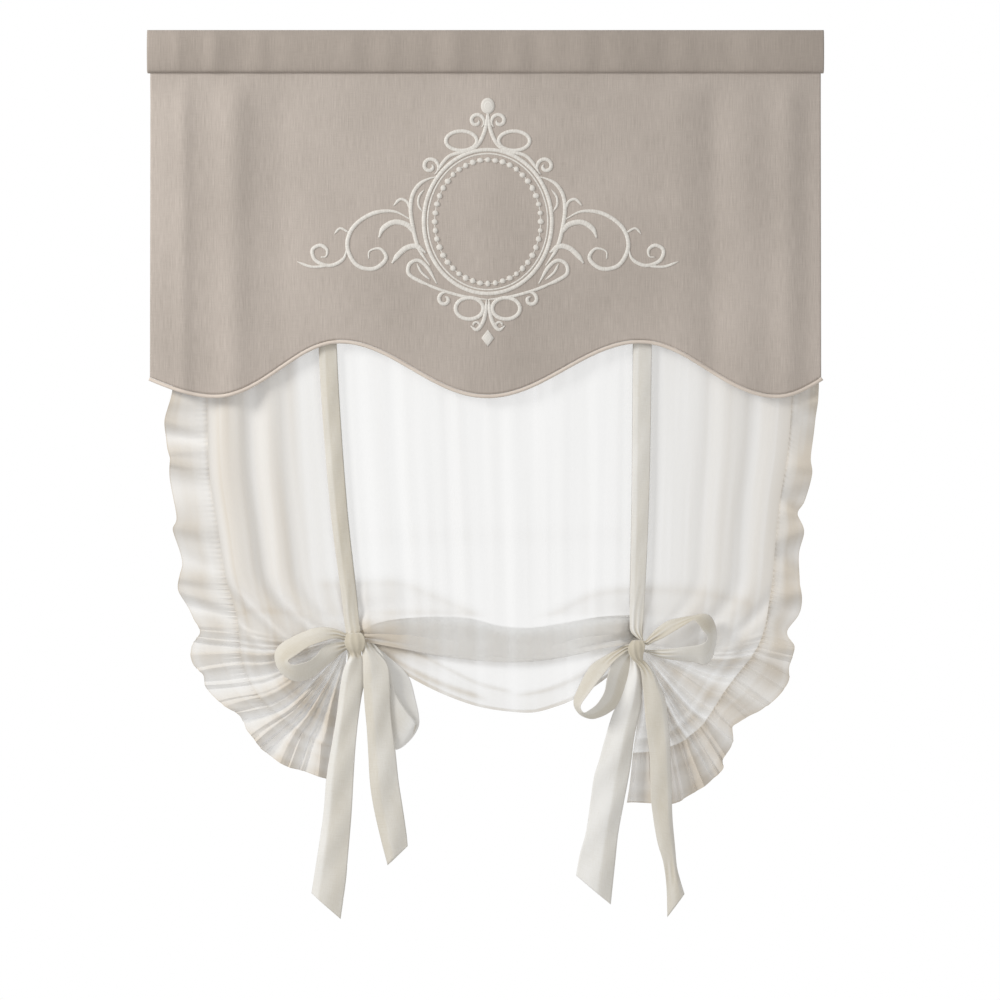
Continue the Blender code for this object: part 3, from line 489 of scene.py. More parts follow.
# %% [markdown]
# ## The cartouche
# The cartouche is embroidered: each line is a narrow ridge of satin stitches. Its left half is
# drawn as smooth curves in metres from the middle of the oval, and the right half mirrors it.
# %% Lines of the cartouche
CARTOUCHE_X = 0.004
CARTOUCHE_DROP = 0.3025
STITCH_WIDTH = 0.0071
STITCH_HEIGHT = 0.0021
OVAL = (0.1136, 0.1278)
FINE_OVAL = (0.1066, 0.1208)
BEAD_OVAL = (0.094, 0.110)


def stitched(points, steps):
    """A smooth line through (column, row) points, in metres from the oval's middle."""
    x, drop = from_picture(points).T
    return curve_through(stacked(x - CARTOUCHE_X, CARTOUCHE_DROP - drop), steps)


def arc(centre, radii, start, end, steps=40):
    """Points of an elliptic arc, angles in degrees from +X towards +Z."""
    angle = np.radians(np.linspace(start, end, steps + 1))
    return stacked(centre[0] + radii[0] * np.cos(angle), centre[1] + radii[1] * np.sin(angle))


def spiral(centre, start_radius, end_radius, start, end, steps=36):
    """Points of a curl whose radius shrinks evenly as it turns."""
    radius = np.linspace(start_radius, end_radius, steps + 1)
    return arc(centre, (radius, radius), start, end, steps)


def crest_lines():
    """The crest over the oval: a forked stem, curls, an oval and the arm down the side."""
    stem = [(487.4, 112), (486.4, 123.9), (483.3, 135), (478.6, 143.9), (471.7, 149.4), (460, 152)]
    shoulder = [(474, 149.5), (462, 152.5), (450, 156), (442.5, 163.5), (437, 172.5)]
    arm = [
        (437, 177), (429, 179), (420, 184), (413.3, 193.3), (410.6, 207.2), (413.3, 229.4), (419, 249),
        (430, 266),
    ]
    twig = [(424, 190), (419, 197), (418.5, 205), (422.5, 212)]
    bud = [(410.6, 211), (407, 202), (400.5, 199.5), (393.5, 206)]
    return [
        (arc((-0.0468, 0.1436), (0.0275, 0.0172), -60, 300), 0.95),
        (spiral((-0.0200, 0.1790), 0.0145, 0.0040, -50, 370), 0.95),
        (stitched(stem, 40), 1.0),
        (stitched(shoulder, 30), 0.9),
        (spiral((-0.1025, 0.0985), 0.0165, 0.0040, -60, 400), 0.95),
        (stitched(arm, 60), 1.0),
        (stitched(twig, 20), 0.6),
        (stitched(bud, 20), 0.75),
    ]


def side_lines():
    """The arms beside the oval: a large C-scroll, an outer scroll, and leaves."""
    large = [
        (-0.137, 0.004), (-0.166, 0.018), (-0.205, 0.014), (-0.240, -0.012), (-0.249, -0.045),
        (-0.231, -0.078), (-0.200, -0.083), (-0.180, -0.064), (-0.191, -0.048), (-0.210, -0.053),
        (-0.211, -0.066),
    ]
    outer = [
        (-0.249, -0.045), (-0.256, -0.066), (-0.280, -0.078), (-0.306, -0.068), (-0.311, -0.050),
        (-0.297, -0.042), (-0.285, -0.050), (-0.287, -0.062), (-0.296, -0.063),
    ]
    tip = [(-0.280, -0.078), (-0.312, -0.080), (-0.338, -0.071)]
    tuft = [(-0.245, -0.020), (-0.262, -0.012), (-0.272, -0.022)]
    upper_leaf = [(416, 236.4), (407.8, 225.5), (394, 222.5), (383, 229), (379, 238)]
    lower_leaf = [(426, 253), (416, 246.5), (406.4, 248.3), (398, 255.5), (392, 263.5)]
    drop_leaf = [
        (437, 284), (426, 266), (417.5, 260.6), (409.5, 264.5), (408.5, 273.5), (419, 281), (436, 288),
    ]
    base = [(419, 281), (436, 288.5), (452.2, 293.8), (470, 298), (487.7, 299.8)]
    vein = [(417, 264), (421.5, 272.5), (430, 280)]
    return [
        (curve_through(large, 110), 1.05),
        (curve_through(outer, 60), 0.95),
        (curve_through(tip, 24), 0.7),
        (curve_through(tuft, 16), 0.6),
        (stitched(upper_leaf, 40), 1.35),
        (stitched(lower_leaf, 36), 1.35),
        (stitched(drop_leaf, 60), 0.95),
        (stitched(base, 40), 0.8),
        (stitched(vein, 16), 0.6),
    ]


def pendant_lines():
    """The pendant under the oval: rings, curls and hooks down to the drop."""
    hook = [(486.6, 300), (485.6, 312), (482.6, 323), (476.5, 330), (470.5, 326)]
    return [
        (arc((-0.0325, -0.1540), (0.0246, 0.0190), -90, 270), 1.0),
        (spiral((-0.0762, -0.1380), 0.0130, 0.0040, 60, 450), 0.95),
        (stitched(hook, 36), 1.0),
        (spiral((-0.0215, -0.1840), 0.0085, 0.0035, -60, 200), 0.6),
    ]


# %% Raise each line as a ridge of stitches
HALF_VALANCE_CLOTH = 0.0007


def on_valance(x, z, height):
    """Where a stitch stands: so high in front of the valance's face."""
    x = CARTOUCHE_X + x
    drop = CARTOUCHE_DROP - z
    return stacked(x, valance_y(x, drop) - HALF_VALANCE_CLOTH - height, -drop)


def ridge(line, widths, closed, height=STITCH_HEIGHT):
    """A half-round ridge along a line, as rings for the sweep."""
    if closed:
        line = line[:-1]
        widths = widths[:-1]
        run = np.roll(line, -1, axis=0) - np.roll(line, 1, axis=0)
    else:
        run = np.gradient(line, axis=0)
    side = stacked(-run[:, 1], run[:, 0])
    side /= np.linalg.norm(side, axis=1)[:, None] + 1e-12
    angles = np.concatenate([np.linspace(0, math.pi, 8), [1.5 * math.pi]])
    across = np.cos(angles)[None, :] * widths[:, None] / 2
    tall = np.where(angles > math.pi + 0.1, -0.15, np.sin(angles))[None, :] * height
    tall = tall * (widths[:, None] / STITCH_WIDTH) ** 0.5
    x = line[:, None, 0] + side[:, None, 0] * across
    z = line[:, None, 1] + side[:, None, 1] * across
    return on_valance(x, z, tall)


def tapered(count, width):
    """Full width in the middle of a line, and fine at its two tips."""
    share = np.linspace(0, 1, count)
    return STITCH_WIDTH * width * blend(0.35, 1.0, smooth(np.minimum(share, 1 - share) / 0.22))


def mirrored(line):
    return line * np.array([-1.0, 1.0])


def drop_ridge(middle, half_width, top, bottom, sides):
    """A raised drop or diamond, as rings that shrink to its crown."""
    angle = np.linspace(0, 2 * math.pi, sides, endpoint=False)
    tall = np.where(np.sin(angle) > 0, top, bottom)
    rings = []
    for size, height in ((1.0, -0.0002), (0.95, 0.0011), (0.7, 0.0021), (0.3, 0.0026)):
        x = middle[0] + np.cos(angle) * half_width * size
        z = middle[1] + np.sin(angle) * tall * size
        rings.append(on_valance(x, z, np.full(sides, height)))
    return np.array(rings)


sweeps = []
oval = arc((0, 0), OVAL, 0, 360, 140)
sweeps.append((ridge(oval, np.full(len(oval), STITCH_WIDTH), True), True))
fine_oval = arc((0, 0), FINE_OVAL, 0, 360, 140)
sweeps.append((ridge(fine_oval, np.full(len(fine_oval), STITCH_WIDTH * 0.4), True, 0.001), True))
for line, width in crest_lines() + side_lines() + pendant_lines():
    closed = np.allclose(line[0], line[-1])
    widths = np.full(len(line), STITCH_WIDTH * width) if closed else tapered(len(line), width)
    for half in (line, mirrored(line)):
        sweeps.append((ridge(half, widths, closed), closed))
sweeps.append((drop_ridge((0.0, 0.2055), 0.0125, 0.015, 0.0145, 24), False))
sweeps.append((drop_ridge((0.0, -0.2065), 0.0115, 0.0155, 0.0155, 4), False))
cartouche = swept("cartouche_stitches", sweeps, thread)
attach(cartouche, "root")
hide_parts("embroidery")

# %% The string of beads inside the oval
BEAD_COUNT = 44
chance = np.random.default_rng(5)
beads = []
for index in range(BEAD_COUNT):
    angle = 2 * math.pi * index / BEAD_COUNT
    middle = (BEAD_OVAL[0] * math.cos(angle), BEAD_OVAL[1] * math.sin(angle))
    width, top, bottom = chance.uniform(0.0044, 0.0060, 3)
    beads.append((drop_ridge(middle, width, top, bottom, 10), False))
string = arc((0, 0), BEAD_OVAL, 0, 360, 120)
beads.append((ridge(string, np.full(len(string), 0.0016), True, 0.0008), True))
bead_string = swept("cartouche_beads", beads, thread)
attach(bead_string, "root")
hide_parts("embroidered_beads")

# %% [markdown]
# ## The voile panel
# The panel falls from the header, is pinched by the two ties and drapes between them in a swag.
# Left and right of the knots it opens into an ear that fans out to the side seam. The grid runs
# down the cloth: level rows above the shoulder, and below it rows that close up at the knots and
# spread again. For each row, "upper" is its drop as far as the shoulder, and "fan" its share of
# the way from the shoulder to the hem. Where cloth is gathered there is more of it to look through:
# it is denser. That number also rises and falls across folds, pleats and creases, as painted
# shade and painted highlight.
# %% The rows of the panel
SHOULDER_DROP = 0.920
UPPER_ROWS = 90
FAN_ROWS = 170
level_rows = np.linspace(SEWN_DROP, SHOULDER_DROP, UPPER_ROWS)
upper = np.concatenate([level_rows, np.full(FAN_ROWS, SHOULDER_DROP)])[:, None]
fan = np.concatenate([np.zeros(UPPER_ROWS), np.linspace(0, 1, FAN_ROWS + 1)[1:]])[:, None]

# %% Seams, straps and knots
VOILE_BACK = 0.0080
VOILE_TOP_Y = 0.00085
PINCH_HEIGHT = 0.028
PINCH_HALF_WIDTH = 0.014
GATHER_HALF_WIDTH = 0.030
UNDER_STRAP = 0.004
KNOT_FAN = 0.25
LEFT_KNOT = (-0.2316, 1.0465)
RIGHT_KNOT = (0.2654, 1.0606)
LEFT_STRAP_TOP = -0.290
RIGHT_STRAP_TOP = 0.283
LEFT_SEAM = [
    (-0.501, 0.028), (-0.495, 0.619), (-0.491, 0.748), (-0.475, 0.851), (-0.462, 0.933), (-0.443, 0.997),
    (-0.430, 1.091), (-0.404, 1.142), (-0.359, 1.187), (-0.311, 1.219), (-0.267, 1.236),
]
RIGHT_SEAM = [
    (0.549, 0.028), (0.544, 0.610), (0.536, 0.716), (0.524, 0.790), (0.515, 0.871), (0.508, 0.952),
    (0.487, 1.050), (0.452, 1.101), (0.420, 1.142), (0.390, 1.190), (0.342, 1.229), (0.292, 1.243),
    (0.262, 1.246),
]


def seam_curves(seam):
    """The seam above the shoulder by its drop, and below it by its length."""
    fine = curve_through(seam, 400)
    below = fine[fine[:, 1] >= SHOULDER_DROP]
    below = curve_through(below[::8].tolist() + [below[-1]], 300)
    return fine, below


def seam_x(fine, drop):
    return np.interp(drop, fine[:, 1], fine[:, 0])


def along(below, share):
    at = np.linspace(0, 1, len(below))
    return np.interp(share, at, below[:, 0]), np.interp(share, at, below[:, 1])


def strap_x(knot, top_x, drop):
    """The straps lean in towards the knot, more so near it."""
    share = np.clip((drop - SEWN_DROP) / (knot[1] - SEWN_DROP), 0, 1)
    return blend(top_x, knot[0], 0.45 * share + 0.55 * share**2.2)


def past_knot(fan):
    """How far a row is through the knot, from 0 to 1. Rows from KNOT_FAN on pass through it."""
    return np.clip((fan - KNOT_FAN) / (1 - KNOT_FAN), 0, 1)


def knot_drop(knot, fan):
    """The rows close up as they come to the knot, and pass through it."""
    top = knot[1] - PINCH_HEIGHT / 2
    approach = np.interp(fan, np.array([0, 1 / 3, 2 / 3, 1]) * KNOT_FAN, [0, 0.42, 0.76, 1.0])
    return blend(SHOULDER_DROP, top, approach) + PINCH_HEIGHT * past_knot(fan)


def gather_half_width(fan):
    return blend(GATHER_HALF_WIDTH, PINCH_HALF_WIDTH, smooth(fan / KNOT_FAN))


# %% The ears beside the knots
EAR_FOLD = 0.0060
SPOKE_FOLD = 0.0105
FOLD_PITCH = 0.38
LEFT_SPOKES = 5.4
RIGHT_SPOKES = 5.8


def crest(phase, sharpness=1.6):
    """The section of a row of folds: narrow crests at 1 and broad hollows at -1."""
    return 2 * ((1 + np.cos(phase)) / 2) ** sharpness - 1


def pleat(turns):
    """The section of laid pleats: a long face and a short, steep one, from -1 to 1."""
    return np.interp(np.mod(turns, 1.0), [0, 0.14, 0.82, 1], [-1, -0.8, 1, -1])


def spokes_at(fan, share, spokes):
    """The pleats that run out from a knot like spokes, and how far the rows have turned to them."""
    round_knot = past_knot(fan)
    turns = spokes * (round_knot + 0.05 * np.sin(round_knot * 9)) + 0.12 * np.sin(share * 5)
    return pleat(turns) + 0.35 * pleat(turns * 2.7 + 0.3), smooth((fan - 0.18) / 0.25)


def ear(knot, seam, top_x, side, share, fold_place, spokes, contrast):
    """Between a knot (share 0) and its side seam (share 1), as x, drop, y and density."""
    fine, below = seam
    in_fan = fan > 0
    near_drop = np.where(in_fan, knot_drop(knot, fan), upper)
    near = strap_x(knot, top_x, near_drop) + side * gather_half_width(fan)
    far_x, far_drop = along(below, fan)
    far_x = np.where(in_fan, far_x, seam_x(fine, upper))
    far_drop = np.where(in_fan, far_drop, upper)
    sag = 0.018 * np.sin(share * math.pi) * smooth(fan * 3)
    x = blend(near, far_x, share)
    drop = blend(near_drop, far_drop, share) + np.where(in_fan, sag, 0)
    bent = share + 0.95 * smooth(fan / 0.55)
    upright = crest(2 * math.pi * (bent - fold_place) / FOLD_PITCH) * smooth((bent - 0.25) / 0.2)
    spoke, turned = spokes_at(fan, share, spokes)
    hang = smooth((drop - 0.1) / 0.3)
    lines = EAR_FOLD * contrast * upright * (1 - turned) * hang * smooth(share * 5 + fan * 4)
    rays = SPOKE_FOLD * spoke * turned * smooth(share * 1.5)
    # Denser towards the seam and at the knot, where there is more cloth; it also rises and falls with the
    # folds and pleats as painted shade and painted highlight.
    crowd_and_painted_shade = 0.5 * bell(share / 0.26) * smooth(fan * 3)
    density_and_painted_shade = 1.5 + 1.9 * contrast * smooth(share / 0.5) - 0.6 * contrast * upright * (1 - turned) * hang
    density_and_painted_shade = density_and_painted_shade + turned * (0.2 - 1.2 * spoke * smooth(share * 3)) + crowd_and_painted_shade
    return x, drop, VOILE_BACK + lines + rays, density_and_painted_shade


# %% The swag between the knots
FOLD_LINE = [
    (359, 640), (380, 644), (410, 650), (440, 656), (480, 660.5), (520, 662), (560, 658), (600, 649),
    (633, 643),
]
TUCK_LINE = [
    (359, 633), (380, 623), (420, 617.5), (470, 618.5), (500, 626), (530, 628), (560, 624), (600, 617),
    (633, 615),
]
HEM_TOP_LINE = [
    (359, 643), (380, 646), (401, 648), (421.6, 658), (442, 668), (462.4, 679), (482.9, 688),
    (509.4, 693.4), (533.9, 692), (554.3, 684), (574.7, 673), (600, 659), (633, 649),
]
HEM_LINE = [
    (359, 649), (380.8, 655), (401.2, 670.6), (421.6, 682.9), (442, 693), (462.4, 701.2), (482.9, 707.3),
    (509.4, 711.4), (533.9, 712.4), (554.3, 707.3), (574.7, 699.2), (600, 683), (633, 657),
]
FOLD_FAN = 0.36
TUCK_FAN = 0.60
HEM_FAN = 0.90
FOLD_Y = -0.010
TUCK_Y = VOILE_BACK + 0.006
HEM_Y = -0.002


def swag_row(points, share):
    """The drop of a measured line at a share of the way between the knots."""
    x, drop = from_picture(points).T
    at, drop = curve_through(stacked((x - x[0]) / (x[-1] - x[0]), drop), 200).T
    return np.interp(share, at, drop)


def centre(share):
    """Between the knots: down to a fold, back up behind it, and down again to the hem."""
    in_fan = fan > 0
    left_drop = np.where(in_fan, knot_drop(LEFT_KNOT, fan), upper)
    right_drop = np.where(in_fan, knot_drop(RIGHT_KNOT, fan), upper)
    left = strap_x(LEFT_KNOT, LEFT_STRAP_TOP, left_drop) + UNDER_STRAP
    right = strap_x(RIGHT_KNOT, RIGHT_STRAP_TOP, right_drop) - UNDER_STRAP
    edge = np.minimum(share, 1 - share)
    near = smooth(edge / 0.05)
    fold, tuck = swag_row(FOLD_LINE, share), swag_row(TUCK_LINE, share)
    hem_top, hem = swag_row(HEM_TOP_LINE, share), swag_row(HEM_LINE, share)
    draped = blend(SHOULDER_DROP, fold, np.sin(np.clip(fan / FOLD_FAN, 0, 1) * math.pi / 2))
    back_up = np.clip((fan - FOLD_FAN) / (TUCK_FAN - FOLD_FAN), 0, 1)
    draped = blend(draped, tuck, (1 - np.cos(back_up * math.pi)) / 2)
    down_again = np.clip((fan - TUCK_FAN) / (HEM_FAN - TUCK_FAN), 0, 1)
    draped = blend(draped, hem_top, 1 - np.cos(down_again * math.pi / 2))
    draped = blend(draped, hem, np.clip((fan - HEM_FAN) / (1 - HEM_FAN), 0, 1))
    drop = np.where(in_fan, draped, upper)
    front = blend(VOILE_BACK, FOLD_Y, smooth(fan / FOLD_FAN))
    depth = blend(front, TUCK_Y, smooth((fan - FOLD_FAN) / 0.28))
    depth = blend(depth, HEM_Y, smooth((fan - 0.66) / 0.30))
    y = blend(VOILE_BACK, depth, near)
    gathers = fold_waves(share * math.pi * 13)
    y = y + 0.0016 * gathers * (1 - smooth(fan * 3)) * smooth((drop - 0.1) / 0.3)
    to_knots = bell(edge / 0.16) * smooth(fan * 4) * smooth(edge / 0.02)
    drawn = crest(2 * math.pi * (fan * 7 + edge * 1.5))
    y = y + (0.0050 * to_knots + 0.0012 * smooth(edge / 0.1) * smooth(fan * 4)) * drawn
    in_band = smooth((drop - tuck) / (12 * PIXEL)) * (1 - smooth((drop - fold - 2 * PIXEL) / (5 * PIXEL)))
    rolled_edge = fan > 0.985
    hem_cloth = 0.3 * smooth((fan - HEM_FAN) / 0.006) + 1.6 * rolled_edge
    density_and_painted_shade = 0.9 + 0.7 * in_band * smooth(fan * 6) + hem_cloth
    # Denser where the cloth bunches at the knots, and rising and falling with the folds drawn to them, which
    # is painted shade and painted highlight.
    crowd_and_painted_shade = 1.3 * bell(share / 0.16) + 0.7 * bell((1 - share) / 0.12) - 0.7 * drawn * to_knots
    creased_cloth_and_painted_shade = (2.0 - 1.5 * drawn) * bell(share / 0.2)
    density_and_painted_shade = density_and_painted_shade + (crowd_and_painted_shade + creased_cloth_and_painted_shade) * smooth(fan * 3)
    return blend(left, right, share), drop, y, density_and_painted_shade


# %% Lay the whole panel
EAR_COLUMNS = 72
KNOT_COLUMNS = 6
CENTRE_COLUMNS = 130
SIDE_HEM = 0.022

left_seam = seam_curves(LEFT_SEAM)
right_seam = seam_curves(RIGHT_SEAM)


def stretch(columns, place):
    """The columns of one stretch, as an array (rows, columns, 4)."""
    return stacked(*place(np.linspace(0, 1, columns)[None, :]))


def left_place(share):
    fold_place, contrast = 0.6, 0.85
    return ear(LEFT_KNOT, left_seam, LEFT_STRAP_TOP, -1, 1 - share, fold_place, LEFT_SPOKES, contrast)


def right_place(share):
    fold_place, contrast = 0.75, 0.5
    return ear(RIGHT_KNOT, right_seam, RIGHT_STRAP_TOP, 1, share, fold_place, RIGHT_SPOKES, contrast)


def pinch(before, after):
    """The few columns under a knot, from one stretch to the next."""
    share = np.linspace(0, 1, KNOT_COLUMNS)[None, 1:-1, None]
    columns = blend(before[:, -1:], after[:, :1], share)
    columns[..., 3] += 1.5 * smooth(fan * 4)
    return columns


left_ear = stretch(EAR_COLUMNS, left_place)
swag = stretch(CENTRE_COLUMNS, centre)
right_ear = stretch(EAR_COLUMNS, right_place)
parts = [left_ear, pinch(left_ear, swag), swag, pinch(swag, right_ear), right_ear]
x, drop, y, density_and_painted_shade = np.moveaxis(np.concatenate(parts, axis=1), -1, 0)
y = blend(VOILE_TOP_Y, y, smooth((drop - BELOW_HEADER) / 0.12))
panel_spots = stacked(x, y, -drop)
across = distance_along(panel_spots[UPPER_ROWS // 2])
lengths = np.linalg.norm(np.diff(panel_spots, axis=0), axis=2).mean(axis=1)
down_cloth = np.concatenate([[0], np.cumsum(lengths)])
panel_flat = stacked(across[None, :], down_cloth[:, None])
in_side_hem = np.minimum(across, across[-1] - across)[None, :] < SIDE_HEM
density_and_painted_shade = density_and_painted_shade + 0.7 * in_side_hem * (1 - smooth((fan - 0.15) * 5))

# %% [markdown]
# The cloth is also doubled softly where it slumps over the ties, and creased where it is drawn to
# the knots. These bands are partly doubled cloth and partly painted shadow and painted crease
# shade. Each of these is a line with a half width, how much it thickens the cloth along itself,
# which holds the painted shade, and how much it thickens it below itself.
# %% Soft bands where the cloth slumps, with painted shadow
SLUMPS = (
    ([(310, 583), (340, 583), (400, 582), (425, 591), (460, 606), (495, 622)], 6, 0.45, 0.55),
    ([(360, 613), (400, 613), (440, 614), (486, 618)], 4, 0.5, 0.0),
    ([(520, 626), (545, 617), (563, 608), (585, 597), (605, 591), (660, 588)], 5, 0.6, 0.5),
    ([(345, 538), (480, 536), (634, 535)], 9, 0.15, 0.0),
    ([(228, 616), (255, 611), (285, 613), (340, 628)], 4, 0.6, 0.0),
    ([(640, 588), (690, 590), (725, 596), (762, 606)], 6, 0.5, 0.35),
)
CREASES = (
    ([(350, 640), (375, 648), (395, 660), (420, 674), (450, 687), (490, 700)], 3.0, 2.0, 0.2),
    ([(350, 640), (385, 644), (420, 655), (450, 670), (480, 684), (520, 694)], 2.5, 1.2, 0.1),
    ([(510, 696), (550, 689), (580, 676), (605, 662), (640, 648)], 2.5, 1.0, 0.1),
)
columns = x / PIXEL + MIDDLE_COLUMN
picture_rows = drop / PIXEL + ROD_ROW
above_band = (fan <= FOLD_FAN) * smooth((620 - picture_rows) / 8)
below_band = (fan > TUCK_FAN) * smooth((columns - 352) / 10) * smooth((640 - columns) / 10)
for bands, where in ((SLUMPS, above_band), (CREASES, below_band)):
    for points, half, along_painted_shade_and_doubling, doubled in bands:
        line = curve_through(points, 100)
        away = (picture_rows - np.interp(columns, line[:, 0], line[:, 1])) / half
        within = smooth((columns - line[0, 0]) / 18) * smooth((line[-1, 0] - columns) / 18)
        density_and_painted_shade = density_and_painted_shade + (along_painted_shade_and_doubling * bell(away) + doubled * smooth(away + 0.5)) * within * where
voile_panel = cloth_piece("voile_cloth", panel_spots, panel_flat, voile, density_and_painted_shade=density_and_painted_shade)
print("flat cloth", round(across[-1], 3), "x", round(down_cloth[-1], 3))
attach(voile_panel, "root")
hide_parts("voile_panel")

# %% [markdown]
# ## The ruffles
# A ruffle is a long strip gathered onto the side seam, so its free edge has more cloth than room
# and swings in and out. The waves grow from small puckers at the seam to wide, curling folds at the
# edge, which ends in a fine rolled hem. The finest gathers are drawn as denser cloth. It also grows
# denser and thinner with the waves and pleats as painted shade and painted highlight, and the right
# ruffle, on the side away from the key light, is made denser as painted shade.
# %% Build the ruffles
LEFT_EDGE = [
    (172, 385), (171, 393), (164, 430), (170, 459), (169, 480), (176, 517), (173, 531), (181, 561),
    (179, 572), (179, 593), (200, 632), (190.5, 650), (192, 662), (202, 673), (207, 691), (241, 718),
    (246, 730), (250, 735), (263, 751), (284, 765), (307, 773), (326, 779), (336, 781),
]
RIGHT_EDGE = [
    (819, 385), (816, 423), (811, 457), (812, 476), (806, 499), (798, 510), (804, 535), (800, 554),
    (800, 583), (801, 613), (788, 629), (794.5, 645), (792, 658), (789, 668), (788, 684), (760, 712),
    (742, 719), (733, 727), (732, 746), (724, 759), (725, 767), (711.5, 781), (688, 797), (679, 803),
    (629, 803.5),
]
RUFFLE_Y = VOILE_BACK + 0.003
RUFFLE_WAVE = 0.0115
RUFFLE_COLUMNS = 28
RUFFLE_STEPS = 4
RUFFLE_WIDTH = 0.075
RUFFLE_TOP_ROW = 73.0
PUCKER_PITCH = 0.0095
WEAVE_GATHERED = 2


def ruffle_piece(name, seam_column, edge_points, waves, seed, spokes, seam_fade, fullness_and_painted_shade):
    """A strip from its seam to its free edge, waved and curling."""
    chance = np.random.default_rng(seed)
    edge = from_picture([(edge_points[0][0], RUFFLE_TOP_ROW), *edge_points])
    rows = len(panel_spots)
    at_row = np.linspace(0, rows - 1, (rows - 1) * RUFFLE_STEPS + 1)
    seam = panel_spots[:, seam_column]
    seam_run = distance_along(seam)
    length = seam_run[-1]
    seam = rows_at(at_row, range(rows), seam)
    share = np.interp(at_row, range(rows), seam_run / length)
    outer = rows_at(share, np.linspace(0, 1, 601), curve_through(edge, 600))
    across = np.linspace(0, 1, RUFFLE_COLUMNS)[None, :]
    pace = np.cumsum(blend(0.6, 1.4, chance.random(waves + 2)))
    phase = np.interp(share, np.linspace(0, 1, waves + 2), pace / pace[-1]) * waves * 2 * math.pi
    phase = phase[:, None] + 0.9 * across
    fine = fold_waves(share * length / PUCKER_PITCH * 2 * math.pi)[:, None]
    begin = smooth(share * length / 0.3)[:, None]
    spoke, turned = spokes_at(np.interp(at_row, range(rows), fan[:, 0])[:, None], 1.0, spokes)
    sway = crest(phase, 2.0) * across**0.8 + 0.35 * np.sin(phase * 2.3 + 1.3) * across * (1.3 - across) * 2
    sway = blend(sway, 0.4 * sway + 0.9 * spoke * across, turned)
    pucker = 0.0018 * fine * np.exp(-across / 0.15) * smooth(across / 0.04)
    curl = 0.0055 * np.sin(phase) * across**2 * begin
    run = np.gradient(seam, axis=0)
    run /= np.linalg.norm(run, axis=1)[:, None]
    x = blend(seam[:, None, 0], outer[:, None, 0], across) + run[:, None, 0] * curl
    z = blend(seam[:, None, 2], -outer[:, None, 1], across) + run[:, None, 2] * curl
    y = blend(seam[:, None, 1], RUFFLE_Y, across) + (RUFFLE_WAVE * sway + pucker) * begin
    spots = np.stack([x, y, z], axis=-1)
    flat = stacked(across * RUFFLE_WIDTH, share[:, None] * length * WEAVE_GATHERED)
    crowded = (1.0 + 0.5 * fine) * np.exp(-across / 0.12) * (1 - seam_fade * turned)
    spoke_painted_shade = (0.1 - 1.0 * spoke) * turned * (1 - 0.5 * across)
    # Waves and pleats as painted shade and painted highlight, the finest gathers at the seam, the rolled hem,
    # and the ruffle's painted shade as a whole.
    density_and_painted_shade = fullness_and_painted_shade - 0.8 * sway + spoke_painted_shade + crowded + 1.8 * (across > 0.965)
    return cloth_piece(name, spots, flat, voile, density_and_painted_shade=density_and_painted_shade)


left_ruffle = ruffle_piece(
    "left_ruffle_cloth", 0, LEFT_EDGE, waves=15, seed=3, spokes=LEFT_SPOKES, seam_fade=0.9, fullness_and_painted_shade=2.9
)
# The right ruffle's greater fullness is painted shade.
right_ruffle = ruffle_piece(
    "right_ruffle_cloth", -1, RIGHT_EDGE, waves=16, seed=8, spokes=RIGHT_SPOKES, seam_fade=0.4, fullness_and_painted_shade=3.8
)
for piece, node in ((left_ruffle, "left_ruffle"), (right_ruffle, "right_ruffle")):
    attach(piece, "root")
    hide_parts(node)

# %% [markdown]
# ## The ribbons
# Each tie is a pair of ribbons sewn into the header, one in front of the voile and one behind.
# The front one makes both loops of the bow and one tail, and the back one comes round under the
# gathered cloth, wraps the loops as the knot, and hangs as the other tail. A ribbon is drawn by
# its two edges: for each station, where edge A and edge B are in the picture, and how far behind
# the rod each one stands, in millimetres, so a number below zero is in front of it. More numbers
# lay a crease along it: where it runs between the edges, how far it stands out, and how dark the
# cloth is on each side of it. That darkness is partly where the ribbon is doubled and partly
# painted shade, and below zero it is a painted highlight.
# %% A ribbon from its two edges
RIBBON_WIDTH = 0.042
RIBBON_COLUMNS = 21
RIBBON_THICKNESS = 0.0006


def level(stations):
    """Stations from (A column, B column, row, depth), with both edges at that row and depth."""
    return [(a, row, depth, b, row, depth) for a, b, row, depth in stations]


def creased(stations, place=0.5, height=0.0, doubling_and_painted_shade_tones=(0.0, 0.0), gathers=0.0):
    """The stations with a crease, doubling and painted shade each side of it, and a least height of gathers.
    """
    return [(*station, place, height, *doubling_and_painted_shade_tones, gathers) for station in stations]


